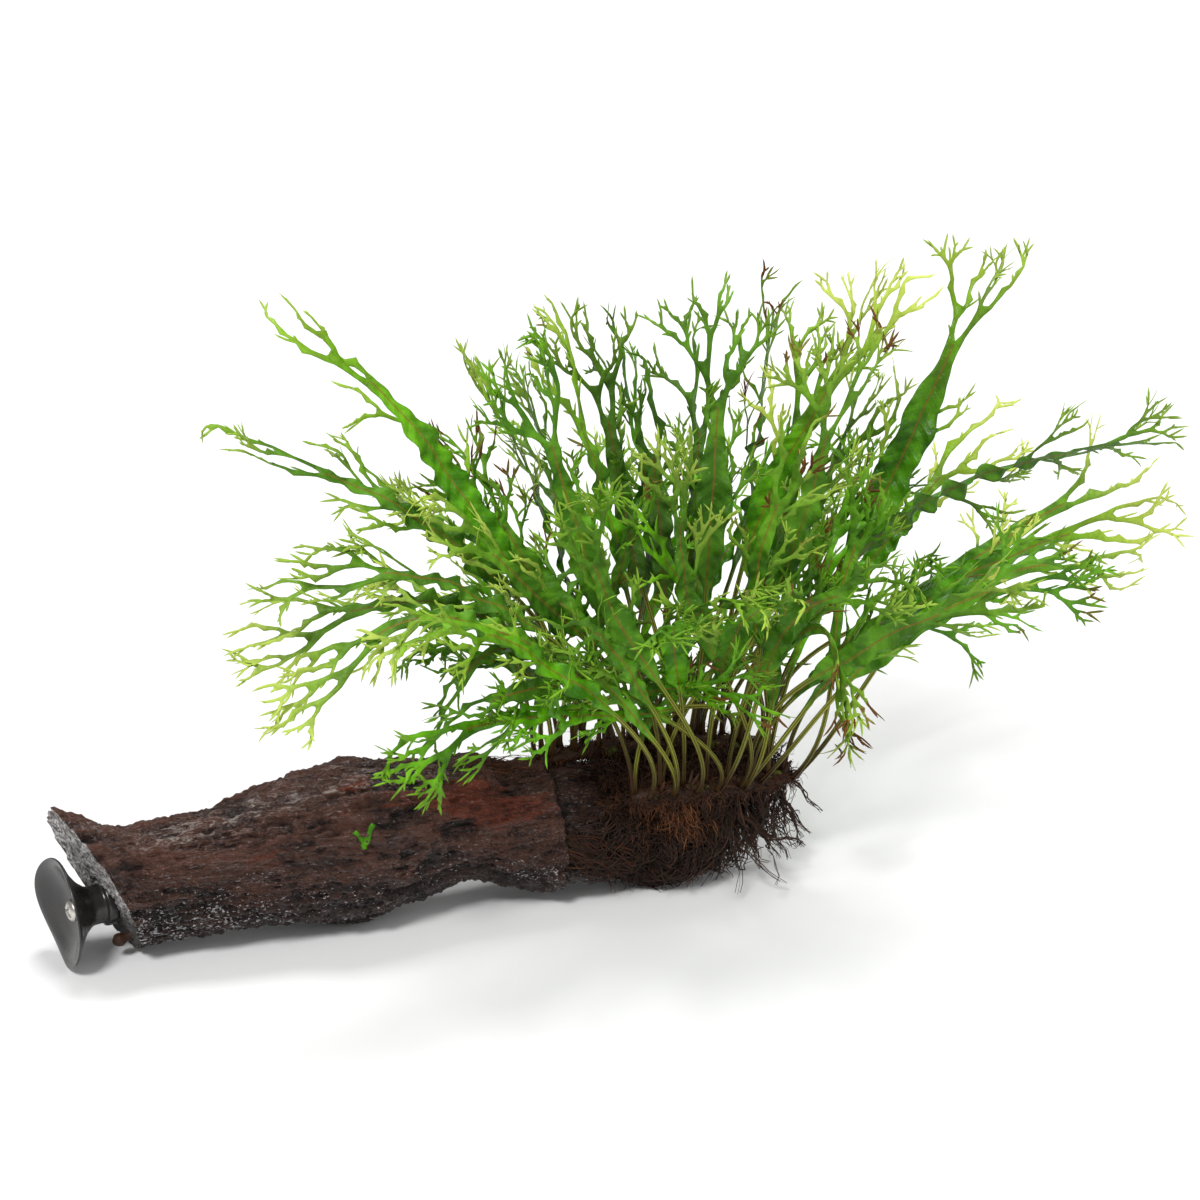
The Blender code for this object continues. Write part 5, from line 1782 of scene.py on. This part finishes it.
def standing_roots(strands, chance):
    """Fuzz that stands up among the stalks."""
    for _ in range(STANDING_ROOTS):
        x = chance.uniform(84, 161)
        share = chance.uniform(-0.2, 2.1) if x < 142 else chance.uniform(-0.2, 1.1)
        place = crown_bed(x, share) + Vector((0.0, 0.0, chance.uniform(-1.5, 2.0)))
        heading = Vector((chance.gauss(0, 0.7), chance.gauss(-0.15, 0.7), chance.uniform(0.1, 1.2)))
        length = chance.uniform(3.5, 10.5) * MM
        path = wander(chance, place * MM, heading.normalized(), 5, length, 0.20, 0.42)
        strands.add(path, chance.uniform(0.08, 0.19) * MM, chance.uniform(0.22, 0.88) - 0.15 * share)


def make_crown_roots(material):
    """The bed of brown roots that the stalks rise from, between and over the creeping stems."""
    chance = random.Random(21)
    bed = Strands()
    thick_cores(bed)
    crossing_roots(bed, chance)
    standing_roots(bed, chance)
    piece = bed.piece("crown_root_bed", material)


def root_floor(x):
    """How low the hanging roots reach at a place along the wood, in mm."""
    return between(ROOT_FLOOR, x)[0]


def ropes(strands, chance):
    """Dark ropes of a few roots each, with light between them."""
    for _ in range(ROPES):
        x = 130 + 30 * chance.random() ** 1.25
        inner = chance.uniform(-0.1, 0.5)
        outer = chance.uniform(0.2, 1.3) if x < BACK_BED_END else chance.uniform(0.1, 1.0)
        place = crown_bed(x, chance.choice((inner, outer)))
        place.z -= 3
        floor = root_floor(x) + chance.uniform(0, 7) * chance.random()
        heading = Vector((chance.gauss(-0.12, 0.22), chance.gauss(0, 0.25), -1.0))
        length = (place.z - floor) * chance.uniform(0.95, 1.30) * MM
        core = wander(chance, place * MM, heading, 12, length, 0.16, 0.30, floor)
        for _ in range(chance.randint(2, 5)):
            offset = Vector((chance.gauss(0, 0.6), chance.gauss(0, 0.6), 0.0)) * MM
            path = [p + offset + stray(chance, 0.35, 0.35, 0.2) * MM for p in core]
            path = [Vector((p.x, p.y, max(p.z, 0.5 * MM))) for p in path]
            strands.add(path, chance.uniform(0.16, 0.42) * MM, chance.uniform(0.0, 0.55))


def loops(strands, chance):
    """Loops that sag between the ropes and curl back."""
    steps = 16
    for _ in range(LOOPS):
        x0 = chance.uniform(126, 154)
        x1 = x0 + chance.uniform(5, 16)
        y0, y1 = chance.uniform(-17, 5), chance.uniform(-15, 5)
        top = 36 - 0.25 * max(x0 - 140, 0)
        floor = root_floor((x0 + x1) / 2) + chance.uniform(0.0, 9.0)
        lean = chance.gauss(0, 3)
        path = []
        for i in range(steps + 1):
            share = i / steps
            sag = math.sin(math.pi * share)
            z = top - (top - floor) * sag**0.8 + chance.gauss(0, 0.4)
            x = x0 + (x1 - x0) * share + lean * sag + chance.gauss(0, 0.4)
            y = y0 + (y1 - y0) * share + chance.gauss(0, 0.5)
            path.append(mm((x, y, max(z, 1.0))))
        strands.add(path, chance.uniform(0.2, 0.42) * MM, chance.uniform(0.0, 0.40))


def curls(strands, chance):
    """Curls and thin tips."""
    for _ in range(CURLS):
        x = chance.uniform(130, 163)
        floor = root_floor(x)
        start = mm((x, chance.uniform(-17, 5), chance.uniform(floor + 1, 36)))
        ahead = chance.uniform(-0.9, 0.6 - (x - 130) * 0.02)
        heading = Vector((ahead, chance.uniform(-0.7, 0.4), chance.uniform(-0.8, 0.4))).normalized()
        path = wander(chance, start, heading, 9, chance.uniform(6, 16) * MM, 0.05, 0.50, floor * 0.9)
        strands.add(path, chance.uniform(0.09, 0.24) * MM, chance.uniform(0.05, 0.62))


def make_hanging_roots(material):
    """Roots that hang past the wood's end: ropes, loops and thin tips."""
    chance = random.Random(9)
    strands = Strands()
    for add_kind in (ropes, loops, curls):
        add_kind(strands, chance)
    roots = strands.piece("hanging_root_strands", material)
    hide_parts("hanging_roots")


def make_twig_stub(material):
    """The round brown stub of a twig at the foot of the sawn end."""
    foot, tip = Vector((-84.0, -4.5, 9.2)), Vector((-91.6, -5.2, 7.4))
    heading = (tip - foot).normalized()
    side = heading.cross(UP).normalized()
    top = side.cross(heading)
    rows, around = 16, 14
    points = []
    for i in range(rows):
        share = i / (rows - 1)
        knob = math.sin(math.pi * min(1.0, max(0.0, (share - 0.4) / 0.6)))
        radius = 1.6 * math.sqrt(1 - (0.985 * share) ** 6) + 0.9 * knob
        for k in range(around):
            turn = 2 * math.pi * k / around
            away = side * math.cos(turn) + top * math.sin(turn)
            place = foot.lerp(tip, share) + away * radius
            points.append((place + away * 0.35 * noise.noise(place * 0.8)) * MM)
    faces = side_faces(rows, around) + end_faces(rows, around)
    looks = {"root_shade": [(0.36, 0.0, 0.0)] * len(points)}
    piece = to_object("twig_stub", points, faces, [material], looks)


def stem_solid(marks):
    """Points and faces of a knobbly creeping stem through its marks."""
    rows = 70
    around = 16
    last = marks[-1][0]
    points = []
    for i in range(rows + 1):
        at = last * i / rows
        x, y, z, radius = between(marks, at)
        ahead = Vector(between(marks, min(at + 0.05, last))[:3])
        behind = Vector(between(marks, max(at - 0.05, 0.0))[:3])
        heading = (ahead - behind).normalized()
        side = heading.cross(UP).normalized()
        top = side.cross(heading)
        end = min(i, rows - i)
        taper = math.sqrt(min(1.0, (end + 0.4) / 3))
        place = Vector((x, y, z))
        for k in range(around):
            turn = 2 * math.pi * k / around
            away = side * math.sin(turn) + top * math.cos(turn)
            skin = place + away * radius
            bump = 0.55 * noise.noise(skin * 0.45) + 0.25 * noise.noise(skin * 1.3)
            points.append((place + away * (radius * taper + bump)) * MM)
    return points, side_faces(rows + 1, around) + end_faces(rows + 1, around)


def stem_hairs(strands, chance, marks):
    """Fine brown hairs between the stalks."""
    for _ in range(STEM_HAIRS):
        x, y, z, radius = between(marks, chance.uniform(0, marks[-1][0]))
        away = spoke(math.radians(chance.uniform(-150, 150)))
        start = (Vector((x, y, z)) + away * radius * 0.9) * MM
        swerve = Vector((chance.gauss(0, 0.8), chance.gauss(0, 0.5), chance.uniform(-0.6, 0.4)))
        heading = (away * 0.7 + swerve).normalized()
        path = wander(chance, start, heading, 5, chance.uniform(2.5, 8) * MM, 0.28, 0.42)
        strands.add(path, chance.uniform(0.09, 0.22) * MM, chance.uniform(0.12, 0.85))


def stalk_stubs(strands, chance, marks):
    """Brown stubs of old stalks."""
    for _ in range(STALK_STUBS):
        x, y, z, radius = between(marks, chance.uniform(0.3, marks[-1][0] - 0.3))
        turn = math.radians(chance.uniform(-75, 75))
        away = Vector((chance.gauss(0, 0.3), -math.sin(turn), math.cos(turn))).normalized()
        start = (Vector((x, y, z)) + away * radius * 0.7) * MM
        path = [start + away * t * MM for t in (0.0, 1.6, 3.2, chance.uniform(4, 6))]
        strands.add(path, chance.uniform(0.9, 1.3) * MM, chance.uniform(0.2, 0.5), 7)


def make_rhizome(name, points, material, root_material):
    """A creeping stem with its hairs and the stubs of old stalks."""
    chance = random.Random(name)
    marks = [(i, *p) for i, p in enumerate(points)]
    stem = to_object(name + "_stem", *stem_solid(marks), [material])
    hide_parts(name)
    hairs = Strands()
    stem_hairs(hairs, chance, marks)
    stalk_stubs(hairs, chance, marks)
    fuzz = hairs.piece(name + "_hairs", root_material)


def make_root_tuft(material):
    """A few thin rusty orange roots on top of the wood, in front of the crown."""
    chance = random.Random(3)
    tuft = Strands()
    steps = 8
    for _ in range(TOP_ROOTS):
        path = []
        from_x = chance.uniform(38, 52)
        run = chance.uniform(8, 22)
        from_y = chance.uniform(-9, 7)
        height = chance.uniform(0.6, 3.4)
        for i in range(steps + 1):
            share = i / steps
            x = from_x + run * share
            y = from_y + chance.gauss(0, 0.5) + 3 * share * math.sin(from_x)
            angle = math.asin(max(-0.9, min(0.9, -y / 21)))
            top = wood_point(x, angle).z / MM
            path.append(mm((x, y, top + 0.4 + height * math.sin(math.pi * share) + chance.gauss(0, 0.15))))
        tuft.add(path, chance.uniform(0.10, 0.2) * MM, chance.uniform(0.55, 0.95))
    piece = tuft.piece("root_tuft", material)


# Cup and screw


def lathe(name, profile, around, material, warp=None):
    """A closed solid turned about the cup's axis: profile is (x, radius) pairs from axis to axis."""
    points, faces = [], []
    rings = []
    for x, radius in profile:
        ring = []
        if radius == 0.0:
            points.append(turned_with_cup(CUP_AXIS + Vector((x, 0.0, 0.0))))
            rings.append([len(points) - 1] * around)
            continue
        for k in range(around):
            turn = 2 * math.pi * k / around
            push = warp(turn, radius) if warp else 0.0
            offset = Vector((x + push, -radius * math.sin(turn), radius * math.cos(turn)))
            ring.append(len(points))
            points.append(turned_with_cup(CUP_AXIS + offset))
        rings.append(ring)
    for near, far in zip(rings, rings[1:]):
        for k in range(around):
            n = (k + 1) % around
            corners = (near[k], far[k], far[n], near[n])
            corners = tuple(dict.fromkeys(corners))
            if len(corners) > 2:
                faces.append(corners)
    return to_object(name, points, faces, [material])


def rounded(profile, steps=4):
    """The profile with its inner corners turned into short curves."""
    smooth_profile = [profile[0]]
    for before, corner, after in zip(profile, profile[1:], profile[2:]):
        a = Vector(corner).lerp(Vector(before), 0.3)
        b = Vector(corner).lerp(Vector(after), 0.3)
        for i in range(steps + 1):
            t = i / steps
            point = a * (1 - t) ** 2 + Vector(corner) * (2 * t * (1 - t)) + b * t * t
            smooth_profile.append((point.x, point.y))
    smooth_profile.append(profile[-1])
    return smooth_profile


def make_cup(material):
    rim = CUP_RIM_X
    dish = rim + CUP_DISH_DEPTH
    flange = CUP_FLANGE_X
    profile = (
        (dish, 0.0),
        (dish, SCREW_HEAD_RADIUS + 1.2 * MM),
        (dish - 1.0 * MM, 9.0 * MM),
        (dish - 3.0 * MM, 13.5 * MM),
        (rim + 0.5 * MM, 17.6 * MM),
        (rim, CUP_RADIUS - 0.3 * MM),
        (rim + 0.5 * MM, CUP_RADIUS),
        (rim + 1.3 * MM, CUP_RADIUS - 0.9 * MM),
        (rim + 3.8 * MM, 14.5 * MM),
        (rim + 7.0 * MM, 10.0 * MM),
        (rim + 10.5 * MM, CUP_NECK_RADIUS),
        (flange - 4.0 * MM, CUP_NECK_RADIUS),
        (flange - 3.3 * MM, CUP_FLANGE_RADIUS),
        (flange - 0.3 * MM, CUP_FLANGE_RADIUS),
        (flange, CUP_FLANGE_RADIUS - 0.4 * MM),
        (flange, 0.0),
    )

    def warp(turn, radius):
        share = (radius / CUP_RADIUS) ** 3
        return share * CUP_WARP * (0.8 * math.cos(2 * turn - 0.6) + 0.5 * math.cos(3 * turn + 1.1))

    cup = lathe("cup_rubber", rounded(profile), CUP_AROUND, material, warp)
    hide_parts("suction_cup")


def make_screw(material):
    """A pan head with a cross recess, sunk into the head's own surface."""
    seat = CUP_RIM_X + CUP_DISH_DEPTH - GAP
    rings = 26

    def arm(across, along):
        """1 inside one arm of the cross, which crosses the middle."""
        wide = smooth(RECESS_HALF - abs(across), -0.12 * MM, 0.12 * MM)
        return wide * smooth(RECESS_REACH - abs(along), -0.4 * MM, 0.4 * MM)

    def recess(y, z):
        """How deep the cross goes into the head at a place."""
        a = y * math.cos(RECESS_TURN) + z * math.sin(RECESS_TURN)
        b = z * math.cos(RECESS_TURN) - y * math.sin(RECESS_TURN)
        return max(arm(a, b), arm(b, a)) * RECESS_DEPTH

    points = [CUP_AXIS + Vector((seat - SCREW_HEAD_HEIGHT + recess(0.0, 0.0), 0.0, 0.0))]
    ring = [0] * SCREW_AROUND
    faces, outline = [], []
    for j in range(1, rings + 1):
        share = j / rings
        radius = SCREW_HEAD_RADIUS * share
        dome = SCREW_HEAD_HEIGHT * (1 - 0.55 * share**4)
        outline.append((radius, seat - dome, True))
    outline += [
        (SCREW_HEAD_RADIUS, seat, False),
        (SCREW_SHANK_RADIUS, seat, False),
        (SCREW_SHANK_RADIUS, seat + SCREW_LENGTH - 4 * MM, False),
        (0.3 * SCREW_SHANK_RADIUS, seat + SCREW_LENGTH - GAP, False),
    ]
    for radius, x, carved in outline:
        new_ring = []
        for k in range(SCREW_AROUND):
            turn = 2 * math.pi * k / SCREW_AROUND
            y, z = -radius * math.sin(turn), radius * math.cos(turn)
            depth = recess(y, z) if carved else 0.0
            new_ring.append(len(points))
            points.append(CUP_AXIS + Vector((x + depth, y, z)))
        for k in range(SCREW_AROUND):
            n = (k + 1) % SCREW_AROUND
            corners = tuple(dict.fromkeys((ring[k], new_ring[k], new_ring[n], ring[n])))
            faces.append(corners)
        ring = new_ring
    faces.append(tuple(reversed(ring)))
    points = [turned_with_cup(point) for point in points]
    screw = to_object("screw_head_and_shank", points, faces, [material])
    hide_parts("cup_screw")


def make_leaf_scrap(material):
    """Three short arms that lie against the front of the wood."""
    angle = math.radians(SCRAP_ANGLE)
    leaf = Leaf(0.05, 0.0)
    along = wood_point(SCRAP_AT + 4, angle) - wood_point(SCRAP_AT - 4, angle)
    around = wood_point(SCRAP_AT, angle - 0.15) - wood_point(SCRAP_AT, angle + 0.15)
    along.normalize()
    off = along.cross(around).normalized()
    around = off.cross(along)
    middle = wood_point(SCRAP_AT, angle) + off * (GAP + SCRAP_THICKNESS + 0.9 * MM)

    def spot(degrees, reach, lift=0.0):
        turn = math.radians(degrees)
        return middle + (along * math.cos(turn) + around * math.sin(turn)) * reach + off * lift

    hub = leaf.add(middle + off * 0.3 * MM, LEAF_HALF, 0.0, 0.0, NO_RIB, 2.4)
    arms = []
    steps = 6
    for degrees, reach in SCRAP_ARMS:
        arm = []
        for i in range(1, steps + 1):
            share = i / steps
            half = 1.15 * MM * (1 - 0.35 * share) * (1 + 0.2 * math.sin(9 * share + degrees))
            swing = 12 * math.sin(2.5 * share + degrees)
            centre = spot(degrees + swing, reach * MM * share, 0.5 * MM * math.sin(3 * share + degrees))
            across = (spot(degrees + swing + 90, MM) - middle).normalized()
            ribbon = ((half, 0.1 * MM, -1.0), (0.0, LEAF_HALF, 0.0), (-half, 0.1 * MM, 1.0))
            arm.append(
                [leaf.add(centre + across * out, thin, 0.0, k, NO_RIB, 2.5) for out, thin, k in ribbon]
            )
        for near, far in zip(arm, arm[1:]):
            leaf.strip(near, far)
        arms.append(arm[0])
    for arm, following in zip(arms, arms[1:] + arms[:1]):
        leaf.faces += [(hub, arm[2], arm[1]), (hub, arm[1], arm[0]), (hub, arm[0], following[2])]
    points, faces, looks = leaf.solid()
    scrap = to_object("leaf_scrap_blade", points, faces, [material], looks)
    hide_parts("leaf_scrap")


def make_fronds(material):
    """One piece for each frond of the frame, then the young ones."""
    fronds, young = place_fronds()
    for number, frond in enumerate(fronds, start=1):
        chance = random.Random(f"age {number}")
        age = OLD_FRONDS.get(number, chance.uniform(0.0, OLDEST_FRESH))
        own = FROND_LOOKS.get(number, {"yellow": chance.uniform(0.1, 0.65)})
        points, faces, looks = fine_frond(frond, age, BROWN_FRONDS.get(number, 0.0), own)
        piece = to_object(f"frond_{number:02d}_leaf", points, faces, [material], looks)
        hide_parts(f"frond_{number:02d}")
    for number, frond in enumerate(young, start=1):
        chance = random.Random(f"young {number}")
        age = chance.uniform(0.0, 0.45)
        dead = 0.5 * (chance.random() < 0.2)
        points, faces, looks = fine_frond(frond, age, dead, {})
        piece = to_object(f"young_frond_{number:02d}", points, faces, [material], looks)


# Camera, light and floor

CAMERA_AZIMUTH = math.radians(-18)
CAMERA_ELEVATION = math.radians(20)
CAMERA_PLACE = Vector((-0.15437, -0.75392, 0.40202))
CAMERA_LENS = 70.05
FLOOR_HALF = 6.0
WORLD_LIGHT = 0.32


def make_camera():
    camera = bpy.data.objects.new("camera", bpy.data.cameras.new("camera"))
    camera.data.lens = CAMERA_LENS
    camera.data.sensor_width = 36.0
    camera.data.clip_start = 0.01
    camera.location = CAMERA_PLACE + SHIFT
    camera.rotation_euler = (math.pi / 2 - CAMERA_ELEVATION, 0.0, CAMERA_AZIMUTH)
    bpy.context.scene.collection.objects.link(camera)
    bpy.context.scene.camera = camera


def add_sun(name, towards, angle, strength):
    """An even studio light from a wide soft source."""
    light = bpy.data.lights.new(name, "SUN")
    light.angle = math.radians(angle)
    light.energy = strength
    lamp = bpy.data.objects.new(name, light)
    lamp.rotation_euler = Vector(towards).to_track_quat("Z", "Y").to_euler()
    bpy.context.scene.collection.objects.link(lamp)


def make_stage():
    """The floor, the even light around and three soft lights."""
    corners = [(x * FLOOR_HALF, y * FLOOR_HALF, 0.0) for x, y in ((-1, -1), (1, -1), (1, 1), (-1, 1))]
    mesh = bpy.data.meshes.new("floor")
    mesh.from_pydata(corners, [], [(0, 1, 2, 3)])
    mesh.materials.append(backdrop_finish())
    floor = bpy.data.objects.new("floor", mesh)
    bpy.context.scene.collection.objects.link(floor)
    world = bpy.data.worlds.new("studio")
    world.use_nodes = True
    background = world.node_tree.nodes["Background"]
    background.inputs["Color"].default_value = (1.0, 1.0, 1.0, 1.0)
    background.inputs["Strength"].default_value = WORLD_LIGHT
    bpy.context.scene.world = world
    add_sun("key", (-0.6, -0.8, 1.2), 14.0, 2.4)
    add_sun("fill", (1.0, -0.9, 0.9), 40.0, 0.8)
    add_sun("top", (0.15, 0.35, 1.0), 20.0, 1.7)
    bpy.context.scene.view_settings.view_transform = "Standard"


def main():
    make_camera()
    make_stage()
    leaf = leaf_finish()
    roots = root_finish()
    stems = stem_finish()
    bark = wood_finish()
    make_wood([bark, cut_finish()])
    make_cup(rubber_finish())
    make_screw(steel_finish())
    make_root_mat(roots)
    make_crown_roots(roots)
    make_hanging_roots(roots)
    make_twig_stub(roots)
    make_root_tuft(roots)
    for name, points in RHIZOMES.items():
        make_rhizome(name, points, stems, roots)
    make_leaf_scrap(leaf)
    make_fronds(leaf)


main()
